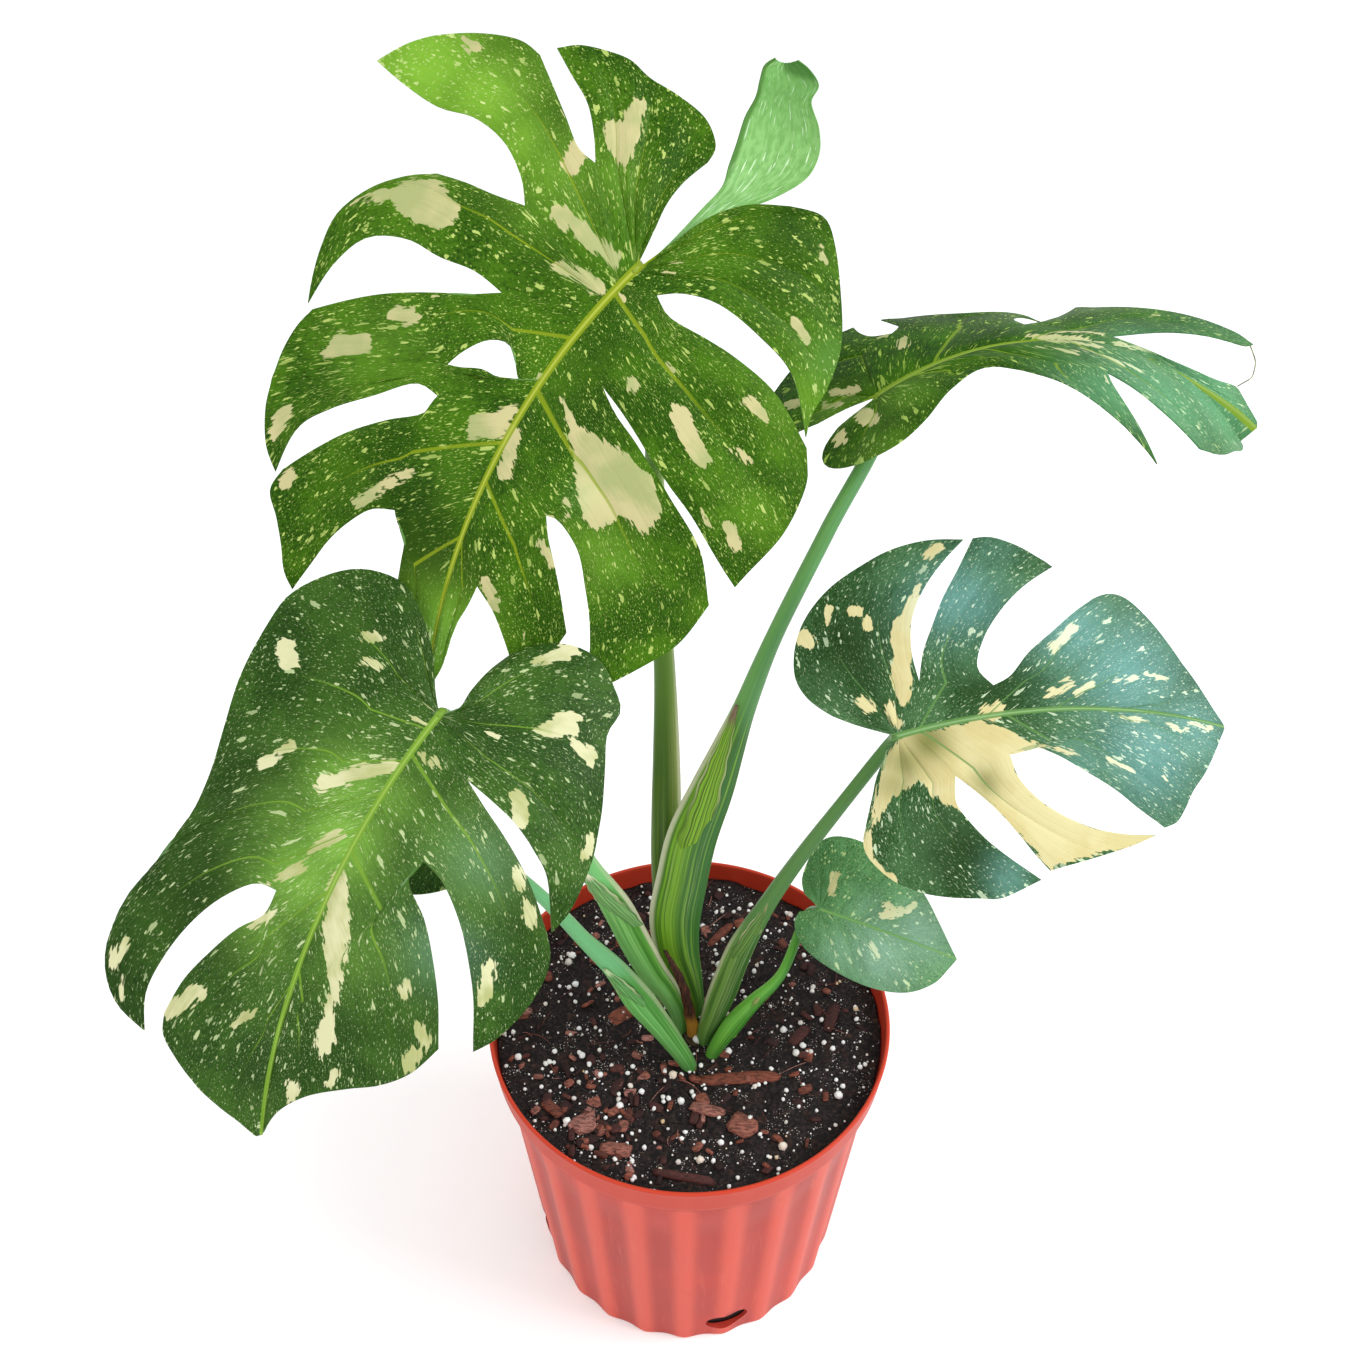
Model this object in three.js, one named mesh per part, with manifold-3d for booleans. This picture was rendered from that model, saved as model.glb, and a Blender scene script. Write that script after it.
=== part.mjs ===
// A potted monstera with cream-flecked leaves, in millimetres.
// The origin is the middle of the pot's base on the ground, +Z is up, and the camera side is -Y.
import * as THREE from 'three';
import { mergeVertices } from 'three/addons/utils/BufferGeometryUtils.js';
import Module from 'manifold-3d';

const wasm = await Module();
wasm.setup();

// ---- driving dimensions ----
const gap = 0.35;             // clearance between touching pieces
const bladeThickness = 0.9;

const pot = {
  height: 228,
  rimRadius: 127,             // outside, at the lip
  bandFootRadius: 125,        // outside, at the foot of the smooth band
  bandDepth: 21,
  bodyTopRadius: 120.6,       // outside, on the crest of a flute
  baseRadius: 104.4,
  wall: 2.6,
  floor: 3.4,
  flutes: 24,
  fluteDepth: 2,
  firstFlute: -1.6,           // degrees round from +X
  fadeStart: 158,             // the flutes run out between these heights
  fadeEnd: 198,
  bevel: 0.8,                 // at the band's foot and the lip
  ledgeRise: 0.6,
  segments: 96,
  holes: 4,
  holeWidth: 29,
  holeHeight: 20,
  holeCentre: 21,
  holeSides: 16,
  firstHole: -75.5,            // degrees round from +X
};

const soil = {
  level: 214,
  relief: 1.4,
  segments: 40,
  rings: 5,
  clear: 0.8,                 // to the pot's wall and floor
  perlite: 56,
  perliteRadius: [1.3, 3],
  smallChips: 9,
  edge: 9,                    // no grain nearer the wall than this
};

// Bark chips that can be told apart: x, y, length, width, degrees round from +X.
const chips = [
  [32, -41, 55, 9, 1],
  [32, -74, 18, 15, -26],
  [11, -63, 22, 8, -14],
  [-44, 6, 18, 12, 30],
  [-64, -73, 16, 13, 26],
  [-44, -90, 20, 9, -11],
  [-84, -62, 17, 8, -43],
  [70, -10, 18, 8, 51],
  [92, 4, 22, 8, 70],
  [-3, -108, 38, 6, -9],
  [22, 72, 28, 6, 49],
];
const chipThickness = 3.4;

// The short stem that the stalks grow from, and the dried sheath beside it.
const stump = { x: 3, y: -9, halfWide: 9, halfDeep: 12, bottom: 199, top: 215 };
const driedSheath = {
  way: [[4, -11, 206], [1, -12, 235], [-3, -11, 261], [-8, -9, 278], [-15, -6, 294]],
  halfWidths: [4.2, 4, 3.2, 2.6, 0.8],
  thickness: 1.3,
};

// Leaf outlines lie flat: x runs from the stalk to the tip, y out from the midrib, in mm.
// left and right are seen from the stalk, looking to the tip, upper face up. y is given as
// a distance from the midrib on both sides.
//   notch    edge beside the stalk, from the stalk outwards
//   lobes    margin: from the lobe's first corner to its tip
//            tilt: how far its end stands above the blade, at its first corner and at its last
//            slit: the cut after the lobe, with the root of its line on the midrib (in stations),
//            the fork where it opens, and its two banks out to the margin;
//            shut: where a hole closes again, with the line on to the margin
// The grid says how finely a blade is divided: stations are equal steps along the midrib, last is
// where the side lobes end, rows run outwards, fan columns spread round the stalk.
const cutGrid = { stations: 24, last: 18, seamRows: 2, bankRows: 5, fan: 4, lobe: 5 };
const wholeGrid = { stations: 10, last: 6, seamRows: 2, bankRows: 4, fan: 4, lobe: 4 };

const leafA = {
  name: 'leaf_blade_largest',
  at: [-28, 90, 683], heading: -141, pitch: -27, roll: -46,
  length: 236, scale: 1.04, bend: 30, sweep: 38, lift: [5, 5], curl: [15, 15], grid: cutGrid,
  colour: 0x3f8f1f,
  left: {
    notch: [[-20, 3], [-42, 6], [-60, 14], [-75, 28]],
    lobes: [
      { margin: [[-84, 42], [-80, 55], [-67, 73], [-50, 91], [-32, 101], [-18, 105]], tip: [-8, 111],
        slit: { root: 1, fork: [1, 15], near: [[-9, 23], [-18, 38], [-22, 60], [-22, 85]],
          far: [[4, 26], [-2, 44], [-7, 62], [-10, 86]], corner: [-5, 115] } },
      { margin: [[4, 125], [22, 131], [50, 135], [75, 134]], tip: [109, 129],
        slit: { root: 4, fork: [52, 24], near: [[56, 37], [61, 49], [67, 61], [74, 76], [84, 96]],
          far: [[59, 36], [64, 49], [70, 61], [79, 77], [98, 103]], corner: [129, 119] } },
      { margin: [[154, 115], [170, 109], [190, 95], [204, 82]], tip: [210, 74], tilt: [16, 16],
        slit: { root: 11, fork: [121, 32], near: [[121, 39], [131, 52], [147, 61], [166, 69], [188, 74]],
          far: [[131, 37], [144, 45], [160, 53]], corner: [178, 60] } },
      { margin: [[190, 56], [200, 47]], tip: [205, 39],
        slit: { root: 15, fork: [167, 14], near: [[177, 24], [190, 32]], far: [[178, 12], [188, 9]],
          corner: [198, 7] } },
      { margin: [[210, 6], [219, 3]] },
    ],
  },
  right: {
    notch: [[-17, 6], [-30, 11], [-45, 13], [-60, 12]],
    lobes: [
      { margin: [[-68, 15], [-73, 27], [-71, 43], [-67, 57], [-66, 69], [-60, 80], [-53, 89]],
        tip: [-45, 95],
        slit: { root: 1, fork: [-20, 46], near: [[-29, 56], [-37, 68], [-41, 82]],
          far: [[-19, 56], [-25, 70], [-31, 84]], corner: [-37, 98] } },
      { margin: [[-35, 110], [-25, 125], [-12, 137], [-1, 143]], tip: [12, 148],
        slit: { root: 2, fork: [15, 54], near: [[8, 64], [3, 80], [4, 97], [10, 112], [12, 130]],
          far: [[20, 67], [24, 81]], corner: [28, 92] } },
      { margin: [[36, 102], [47, 111], [60, 116], [72, 114], [83, 110]], tip: [91, 106],
        slit: { root: 3, fork: [47, 37], near: [[47, 52], [51, 68], [53, 84], [61, 99], [75, 105]],
          far: [[57, 50], [66, 66], [76, 82]], corner: [92, 103] } },
      { margin: [[100, 106], [110, 107]], tip: [120, 106],
        slit: { root: 7, fork: [72, 9], near: [[65, 15], [62, 22], [66, 30], [75, 36]],
          far: [[76, 17], [77, 25], [81, 33]], shut: [83, 39], corner: [120, 106] } },
      { margin: [[130, 104], [142, 98]], tip: [150, 90],
        slit: { root: 8, fork: [96, 36], near: [[96, 47], [108, 61], [120, 76], [132, 87]],
          far: [[105, 38], [114, 51], [125, 65], [136, 76]], corner: [148, 87] } },
      { margin: [[157, 90], [166, 84], [176, 79], [185, 76]], tip: [193, 71],
        slit: { root: 13, fork: [147, 33], near: [[150, 43], [158, 51], [168, 58], [180, 64]],
          far: [[156, 25], [168, 23]], corner: [182, 22] } },
      { margin: [[198, 16], [213, 8]] },
    ],
  },
};

// The lobe beside the stalk that is turned over, behind the largest leaf. Each row has x and y of
// its two edges in the leaf's flat plane, and the height of its middle over that plane.
const turnedLobe = {
  rows: [
    [[4, 2], [0, 6], 0],
    [[-10, 2], [-15, 8], -1],
    [[-26, 2], [-35, 11], -4],
    [[-46, 1], [-59, 14], -8],
    [[-62, 0], [-78, 21], -10],
    [[-72, -5], [-97, 25], -11],
    [[-82, -10], [-110, 21], -10],
    [[-93, -16], [-118, 12], -8],
    [[-102, -19], [-122, 1], -4],
    [[-107, -23], [-128, -2], 1],
    [[-112, -26], [-128, -10], 4],
    [[-118, -25], [-126, -17], 5],
  ],
  columns: 4,
  hollow: 4,                  // how far its edges stand forward of its middle
};

const leafB = {
  name: 'leaf_blade_low_left',
  at: [-119, -55, 530], heading: -126, pitch: -20, roll: -20,
  length: 213, scale: 0.94, bend: 38, sweep: 22, lift: [1, 5], curl: [18, 15], grid: cutGrid,
  colour: 0x2f6b2a,
  left: {
    notch: [[-8, 6], [-20, 5], [-34, 5], [-48, 7]],
    lobes: [
      { margin: [[-58, 12], [-68, 22], [-74, 35], [-74, 48], [-68, 59], [-59, 70], [-44, 72], [-28, 82],
        [-8, 94], [12, 102], [34, 106], [52, 107]], tip: [68, 104], tilt: [-8, -8],
        slit: { root: 1, fork: [20, 31], near: [[22, 47], [25, 62], [32, 77], [42, 90]],
          far: [[27, 45], [34, 60], [43, 75], [54, 88]], corner: [70, 102] } },
      { margin: [[82, 109], [99, 111], [121, 108], [142, 100]], tip: [154, 91], tilt: [-6, -6],
        slit: { root: 5, fork: [67, 34], near: [[72, 47], [86, 62], [104, 74], [126, 84]],
          far: [[79, 32], [93, 47], [111, 59], [132, 69]], corner: [156, 76] } },
      { margin: [[173, 67], [184, 54], [191, 38], [200, 20], [212, 7]] },
    ],
  },
  right: {
    notch: [[-9, 9], [-25, 23], [-37, 38]],
    lobes: [
      { margin: [[-46, 55], [-45, 70], [-38, 84], [-24, 96], [-8, 103], [10, 101], [34, 95], [57, 86],
        [76, 80], [95, 79], [116, 84], [138, 91], [154, 97], [170, 95], [184, 85]], tip: [192, 68],
        slit: { root: 8, fork: [110, 24], near: [[111, 35], [123, 48], [138, 58], [156, 66], [175, 71]],
          far: [[122, 25], [133, 35], [147, 44], [163, 53]], corner: [181, 59] } },
      { margin: [[190, 57], [198, 50], [209, 37], [216, 22], [221, 9]] },
    ],
  },
};

const leafC = {
  name: 'leaf_blade_mid_right',
  at: [104, -20, 484], heading: 3, pitch: 20, roll: 38,
  length: 172, scale: 1, bend: 35, sweep: -25, lift: [5, 5], curl: [15, 15], grid: cutGrid,
  colour: 0x2d6a33,
  left: {
    notch: [[-9, 5], [-20, 12], [-29, 19]],
    lobes: [
      { margin: [[-38, 30], [-42, 42], [-40, 54], [-34, 66], [-25, 76], [-12, 85], [3, 91], [18, 96],
        [34, 97]], tip: [50, 94],
        slit: { root: 1, fork: [17, 24], near: [[17, 40], [21, 57], [29, 71], [39, 83]],
          far: [[22, 38], [29, 51], [36, 64], [45, 78]], corner: [54, 94] } },
      { margin: [[62, 93], [72, 87], [80, 80]], tip: [86, 75],
        slit: { root: 4, fork: [51, 15], near: [[45, 25], [50, 39], [60, 53], [72, 65]],
          far: [[60, 19], [70, 30], [82, 40], [93, 50]], corner: [103, 58] } },
      { margin: [[110, 61], [118, 60], [128, 52], [141, 38], [153, 24], [163, 11]] },
    ],
  },
  right: {
    notch: [[-7, 4], [-9, 12], [-14, 24]],
    lobes: [
      { margin: [[-23, 37], [-31, 45], [-32, 53], [-28, 62], [-22, 70], [-12, 78], [1, 84], [19, 88],
        [35, 90]], tip: [60, 84],
        slit: { root: 1, fork: [23, 27], near: [[20, 40], [25, 51], [33, 62], [45, 73]],
          far: [[34, 39], [43, 50], [51, 61], [58, 71]], corner: [66, 80] } },
      { margin: [[84, 77], [102, 73], [119, 68]], tip: [133, 62],
        slit: { root: 4, fork: [53, 21], near: [[56, 34], [66, 46], [80, 55], [97, 61], [115, 63]],
          far: [[64, 18], [77, 23], [92, 32], [108, 41], [122, 50]], corner: [138, 58] } },
      { margin: [[146, 54], [151, 46], [155, 37], [162, 26], [168, 12]] },
    ],
  },
};

const leafD = {
  name: 'leaf_blade_high_right',
  at: [96, 110, 606], heading: 14, pitch: 32, roll: -3,
  length: 224, scale: 1, bend: 80, sweep: -20, lift: [[9, -12, 6], [0, 4, -10]], curl: [20, 20],
  grid: cutGrid, colour: 0x3f7f3a,
  left: {
    notch: [[-16, 4], [-34, 7]],
    lobes: [
      { margin: [[-56, 18], [-62, 34], [-50, 50], [-30, 62], [-10, 68]], tip: [10, 69],
        slit: { root: 1, fork: [24, 44], near: [[15, 49], [11, 58]], far: [[29, 50], [27, 58]],
          corner: [24, 67] } },
      { margin: [[44, 62], [68, 55], [90, 57]], tip: [112, 66],
        slit: { root: 6, fork: [88, 24], near: [[86, 36], [92, 48], [101, 58]],
          far: [[100, 30], [112, 44], [121, 56]], corner: [128, 68] } },
      { margin: [[146, 62], [166, 57], [187, 52]], tip: [205, 42], tilt: [9, 31],
        slit: { root: 12, fork: [131, 13], near: [[148, 22], [166, 30], [184, 35], [199, 35]],
          far: [[146, 10], [160, 7], [176, 5], [192, 6]], corner: [207, 20] } },
      { margin: [[213, 12], [219, 6]], tilt: [8, 0] },
    ],
  },
  right: {
    notch: [[-14, 3], [-26, 6]],
    lobes: [
      { margin: [[-38, 14], [-42, 24], [-36, 34], [-22, 42], [-4, 45], [14, 40], [34, 27], [56, 19],
        [78, 37], [100, 66]], tip: [127, 102],
        slit: { root: 8, fork: [114, 38], near: [[114, 50], [117, 65], [122, 83]],
          far: [[126, 46], [142, 57], [157, 64]], corner: [170, 68] } },
      { margin: [[184, 62], [198, 50], [210, 34], [221, 18]] },
    ],
  },
};

const leafE = {
  name: 'leaf_blade_small_right',
  at: [80, 20, 302], heading: -14, pitch: -12, roll: 22,
  length: 90, scale: 1, bend: 10, sweep: 0, lift: [5, 5], curl: [15, 15], grid: wholeGrid,
  colour: 0x35723a,
  left: {
    notch: [[-6, 3], [-12, 6]],
    lobes: [{ margin: [[-16, 15], [-15, 30], [-10, 43], [0, 49], [16, 50], [38, 44], [58, 33], [74, 17],
      [84, 6]] }],
  },
  right: {
    notch: [[-6, 3], [-12, 6]],
    lobes: [{ margin: [[-13, 14], [-6, 25], [8, 32], [28, 36], [47, 36], [65, 31], [79, 20], [86, 8]] }],
  },
};

const leafG = {
  name: 'leaf_blade_small_left',
  at: [-122, -47, 440], heading: -168, pitch: -14, roll: -16,
  length: 56, scale: 0.76, bend: 16, sweep: 0, lift: [5, 5], curl: [15, 15], grid: wholeGrid,
  colour: 0x2c5f2c,
  left: {
    notch: [[-6, 3], [-12, 7]],
    lobes: [{ margin: [[-16, 16], [-14, 27], [-5, 35], [12, 38], [32, 34], [50, 24], [64, 11]] }],
  },
  right: {
    notch: [[-6, 3], [-12, 7]],
    lobes: [{ margin: [[-16, 16], [-14, 27], [-5, 35], [12, 38], [32, 34], [50, 24], [64, 11]] }],
  },
};

const leaves = [leafA, leafD, leafB, leafC, leafE, leafG];

// ---- leaf blades ----
const rad = THREE.MathUtils.degToRad;
const lerp = THREE.MathUtils.lerp;

// A leaf's own surface: flat (x, y) with a height over it, to the plant's millimetres.
function leafPoint(leaf, x, y, height) {
  const turn = rad(leaf.sweep) / leaf.length;
  let u = x;
  let v = y;
  if (x > 0 && turn !== 0) {
    u = Math.sin(turn * x) / turn - Math.sin(turn * x) * y;
    v = (1 - Math.cos(turn * x)) / turn + Math.cos(turn * x) * y;
  }
  const out = Math.abs(v);
  const rise = rad(liftAt(leaf.lift[y >= 0 ? 0 : 1], x / leaf.length));
  const curl = rad(leaf.curl[y >= 0 ? 0 : 1]) / 100;
  const across = Math.sign(v) * (Math.sin(rise) - Math.sin(rise - curl * out)) / curl;
  const sag = (Math.cos(rise - curl * out) - Math.cos(rise)) / curl + height;
  const droop = rad(leaf.bend) / leaf.length;
  const along = Math.max(u, 0);
  const angle = droop * along;
  const point = new THREE.Vector3(
    Math.sin(angle) / droop + Math.min(u, 0) + Math.sin(angle) * sag,
    across,
    -(1 - Math.cos(angle)) / droop + Math.cos(angle) * sag,
  );
  return point.applyEuler(leafTurn(leaf)).add(new THREE.Vector3(...leaf.at));
}

// How steeply a side leaves the midrib: one angle, or three at the stalk, the middle and the tip.
function liftAt(lift, t) {
  if (!Array.isArray(lift)) return lift;
  const place = THREE.MathUtils.clamp(2 * t, 0, 2);
  return place < 1 ? lerp(lift[0], lift[1], place) : lerp(lift[1], lift[2], place - 1);
}

function leafTurn(leaf) {
  return new THREE.Euler(rad(leaf.roll), rad(-leaf.pitch), rad(leaf.heading), 'ZYX');
}

function evenPoints(points, count) {
  const curve = new THREE.SplineCurve(points.map(([x, y]) => new THREE.Vector2(x, y)));
  return curve.getSpacedPoints(count).map((p) => [p.x, p.y]);
}

function linePoints(from, to, count) {
  const at = (i) => [lerp(from[0], to[0], i / count), lerp(from[1], to[1], i / count)];
  return Array.from({ length: count + 1 }, (_, i) => at(i));
}

// One side of a slit: the closed line from the midrib, the open bank, and where a hole
// shuts again, the closed line on to the margin.
function slitEdge(grid, slit, bank, rootX) {
  const seam = linePoints([rootX, 0], slit.fork, grid.seamRows);
  const holeRows = slit.shut ? grid.bankRows - 2 : grid.bankRows;
  const open = evenPoints([slit.fork, ...bank, slit.shut ?? slit.corner], holeRows).slice(1);
  const shutLine = slit.shut ? linePoints(slit.shut, slit.corner, grid.bankRows - holeRows).slice(1) : [];
  return [...seam, ...open, ...shutLine];
}

// The four edges of each lobe on one side of the midrib.
function lobeEdges(leaf, side) {
  const { grid } = leaf;
  const rows = grid.seamRows + grid.bankRows;
  const step = leaf.length / leaf.scale / grid.stations;
  const tip = [leaf.length / leaf.scale, 0];
  let start = 0;
  let upper = evenPoints([[0, 0], ...side.notch], rows);
  return side.lobes.map((lobe, index) => {
    const { slit } = lobe;
    const end = slit ? slit.root : grid.last;
    const inner = [];
    if (index === 0) {
      for (let i = 0; i < grid.fan; i += 1) inner.push([0, 0]);
    }
    for (let i = end - start; i < grid.lobe; i += 1) inner.push([start * step, 0]);
    for (let i = start; i <= end; i += 1) inner.push([i * step, 0]);
    const lower = slit
      ? slitEdge(grid, { ...slit, corner: lobe.tip }, slit.near, end * step)
      : linePoints([end * step, 0], tip, rows);
    const outer = evenPoints([upper[rows], ...lobe.margin, lower[rows]], inner.length - 1);
    const edges = { inner, outer, upper, lower, tilt: lobe.tilt ?? [0, 0] };
    if (slit) upper = slitEdge(grid, slit, slit.far, end * step);
    start = end;
    return edges;
  });
}

// Blends a lobe's two banks with its midrib and margin.
function lobePatch(grid, { inner, outer, upper, lower, tilt }) {
  const rows = grid.seamRows + grid.bankRows;
  const columns = inner.length - 1;
  const patch = [];
  for (let r = 0; r <= rows; r += 1) {
    const s = r / rows;
    const climb = Math.max(0, (r - grid.seamRows) / grid.bankRows) ** 1.4;
    const row = [];
    for (let c = 0; c <= columns; c += 1) {
      const t = c / columns;
      const mix = (k) => lerp(upper[r][k], lower[r][k], t) + lerp(inner[c][k], outer[c][k], s)
        - lerp(lerp(inner[0][k], inner[columns][k], t), lerp(outer[0][k], outer[columns][k], t), s);
      row.push([mix(0), mix(1), climb * lerp(tilt[0], tilt[1], t)]);
    }
    patch.push(row);
  }
  return patch;
}

// The whole blade as one flat sheet of triangles.
function bladeSheet(leaf) {
  const points = [];
  const triangles = [];
  const place = ([x, y, rise], sign) => {
    const flat = [x * leaf.scale, sign * y * leaf.scale, rise];
    const known = points.findIndex((point) => Math.hypot(point[0] - flat[0], point[1] - flat[1]) < 0.01);
    return known >= 0 ? known : points.push(flat) - 1;
  };
  for (const [side, sign] of [[leaf.left, 1], [leaf.right, -1]]) {
    for (const edges of lobeEdges(leaf, side)) {
      const patch = lobePatch(leaf.grid, edges).map((row) => row.map((point) => place(point, sign)));
      triangles.push(...patchTriangles(patch, sign > 0));
    }
  }
  return { points, triangles };
}

function patchTriangles(patch, turned) {
  const triangles = [];
  for (let r = 0; r + 1 < patch.length; r += 1) {
    for (let c = 0; c + 1 < patch[r].length; c += 1) {
      const [p, q, u, v] = [patch[r][c], patch[r + 1][c], patch[r + 1][c + 1], patch[r][c + 1]];
      for (const [i, j, k] of [[p, q, u], [p, u, v]]) {
        if (i === j || j === k || i === k) continue;
        triangles.push(turned ? [i, k, j] : [i, j, k]);
      }
    }
  }
  return triangles;
}

// A sheet of triangles becomes a closed slab with the same triangles on both faces.
function slab(middle, triangles, thickness) {
  const normals = middle.map(() => new THREE.Vector3());
  for (const [a, b, c] of triangles) {
    const ab = middle[b].clone().sub(middle[a]);
    const ac = middle[c].clone().sub(middle[a]);
    const normal = ab.cross(ac);
    for (const index of [a, b, c]) normals[index].add(normal);
  }
  const count = middle.length;
  const positions = [];
  for (const way of [0.5, -0.5]) {
    middle.forEach((point, i) => {
      const moved = point.clone().addScaledVector(normals[i].clone().normalize(), way * thickness);
      positions.push(moved.x, moved.y, moved.z);
    });
  }
  const faces = [];
  const edges = new Map();
  for (const [a, b, c] of triangles) {
    faces.push(a, b, c, a + count, c + count, b + count);
    for (const [p, q] of [[a, b], [b, c], [c, a]]) {
      const back = `${q} ${p}`;
      if (edges.has(back)) edges.delete(back);
      else edges.set(`${p} ${q}`, [p, q]);
    }
  }
  for (const [p, q] of edges.values()) faces.push(q, p, q + count, p, p + count, q + count);
  return meshGeometry(positions, faces);
}

function meshGeometry(positions, faces) {
  const geometry = new THREE.BufferGeometry();
  geometry.setAttribute('position', new THREE.Float32BufferAttribute(positions, 3));
  geometry.setIndex(faces);
  return geometry;
}

function bladeGeometry(leaf, thickness) {
  const { points, triangles } = bladeSheet(leaf);
  const middle = points.map(([x, y, rise]) => leafPoint(leaf, x, y, rise));
  return slab(middle, triangles, thickness);
}

function turnedLobeGeometry() {
  const { rows, columns, hollow } = turnedLobe;
  const middle = [];
  const patch = rows.map(([left, right, height], r) => {
    const row = [];
    for (let c = 0; c <= columns; c += 1) {
      const t = c / columns;
      const forward = hollow * (2 * t - 1) ** 2 * Math.min(1, r / 4);
      row.push(middle.length);
      const [x, y] = [lerp(left[0], right[0], t), lerp(left[1], right[1], t)];
      middle.push(leafPoint(leafA, x, y, height + forward));
    }
    return row;
  });
  return slab(middle, patchTriangles(patch, true), bladeThickness);
}

// ---- solids ----
function toSolid(geometry) {
  const bare = geometry.clone();
  bare.deleteAttribute('normal');
  bare.deleteAttribute('uv');
  const merged = mergeVertices(bare, 1e-4);
  return new wasm.Manifold(new wasm.Mesh({
    numProp: 3,
    vertProperties: new Float32Array(merged.attributes.position.array),
    triVerts: new Uint32Array(merged.index.array),
  }));
}

function toGeometry(solid) {
  const mesh = solid.getMesh();
  return meshGeometry(Array.from(mesh.vertProperties), Array.from(mesh.triVerts));
}

// Cuts can leave crumbs behind, so only the largest piece is kept.
function largestPiece(solid) {
  return solid.decompose().reduce((best, piece) => (piece.volume() > best.volume() ? piece : best));
}

const group = new THREE.Group();

function addMesh(name, geometry, colour, roughness) {
  const material = new THREE.MeshStandardMaterial({ color: colour, roughness, metalness: 0 });
  const mesh = new THREE.Mesh(geometry, material);
  mesh.name = name;
  group.add(mesh);
}

// ---- stalks ----
// A closed tube with an oval section: wide across, deep towards the front.
function ovalTube(centres, acrosses, fronts, wides, deeps, sides) {
  const positions = [];
  const faces = [];
  const count = centres.length;
  for (let i = 0; i < count; i += 1) {
    for (let j = 0; j < sides; j += 1) {
      const angle = (2 * Math.PI * j) / sides;
      const point = centres[i].clone()
        .addScaledVector(acrosses[i], wides[i] * Math.cos(angle))
        .addScaledVector(fronts[i], deeps[i] * Math.sin(angle));
      positions.push(point.x, point.y, point.z);
    }
  }
  const ring = (i, j) => i * sides + (j % sides);
  for (let i = 0; i + 1 < count; i += 1) {
    for (let j = 0; j < sides; j += 1) {
      faces.push(ring(i, j), ring(i, j + 1), ring(i + 1, j + 1));
      faces.push(ring(i, j), ring(i + 1, j + 1), ring(i + 1, j));
    }
  }
  const low = positions.length / 3;
  positions.push(...centres[0].toArray(), ...centres[count - 1].toArray());
  for (let j = 0; j < sides; j += 1) {
    faces.push(low, ring(0, j + 1), ring(0, j), low + 1, ring(count - 1, j), ring(count - 1, j + 1));
  }
  return meshGeometry(positions, faces);
}

// Each stalk's way has x, y, z and half its width there; the broad lower part is its sheath.
// Where two would cross, the one further down the list gives way.
const stalkRings = 15;
const stalkSides = 8;
const sheathDepth = 5.6;      // most that half a stalk measures from front to back
const neck = { drop: 16, back: 5, thicker: 0.4 };     // how a stalk turns up to its blade
const broadSide = new THREE.Vector3(0, -0.76, 0.65);  // where the broad sheaths face
const stalks = [
  { name: 'stalk_high_right', leaf: leafD, head: 3.8,
    way: [[6, 8, 198, 5], [4, 8, 226, 5.5], [-1, 8, 250, 9.5], [-7, 9, 275, 13.5], [-9, 11, 304, 16],
      [-5, 16, 332, 15.4], [1, 22, 364, 15], [13, 31, 397, 12.6], [29, 43, 444, 6.6],
      [44, 52, 488, 4.7], [71, 68, 549, 4.4]] },
  { name: 'stalk_largest', leaf: leafA, head: 4.5,
    way: [[-2, 20, 198, 5.5], [-6, 20, 240, 7], [-12, 22, 290, 9], [-14, 32, 330, 9.5], [-14, 44, 368, 9],
      [-14, 60, 398, 8], [-15, 80, 444, 6.3], [-19, 96, 511, 5.5], [-21, 104, 606, 5]] },
  { name: 'stalk_low_left', leaf: leafB, head: 3.8,
    way: [[-6, -3, 198, 5], [-6, -3, 226, 6], [-13, -4, 251, 7.5], [-22, -6, 273, 9], [-31, -9, 302, 9.5],
      [-42, -16, 346, 9], [-54, -26, 388, 6], [-69, -38, 438, 4.6], [-99, -49, 495, 4.2]] },
  { name: 'stalk_mid_right', leaf: leafC, head: 3.2,
    way: [[10, -12, 198, 5], [10, -12, 217, 5.4], [15, -12, 240, 7.5], [20, -12, 262, 8.8], [30, -12, 305, 8],
      [44, -13, 346, 5.2], [60, -15, 387, 4.4], [80, -17, 432, 3.8]] },
  { name: 'stalk_small_right', leaf: leafE, head: 2.6,
    way: [[12, -24, 198, 4], [14, -23, 212, 4.2], [27, -18, 238, 6.5], [39, -13, 253, 5], [56, -3, 267, 3.2]] },
  { name: 'stalk_small_left', leaf: leafG, head: 2.6,
    way: [[2, -30, 198, 4.6], [0, -31, 212, 5], [-13, -31, 244, 7], [-30, -32, 281, 9.3], [-44, -34, 314, 6.5],
      [-60, -36, 342, 4.6], [-72, -38, 366, 4.2], [-92, -42, 402, 3.4]] },
];

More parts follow.
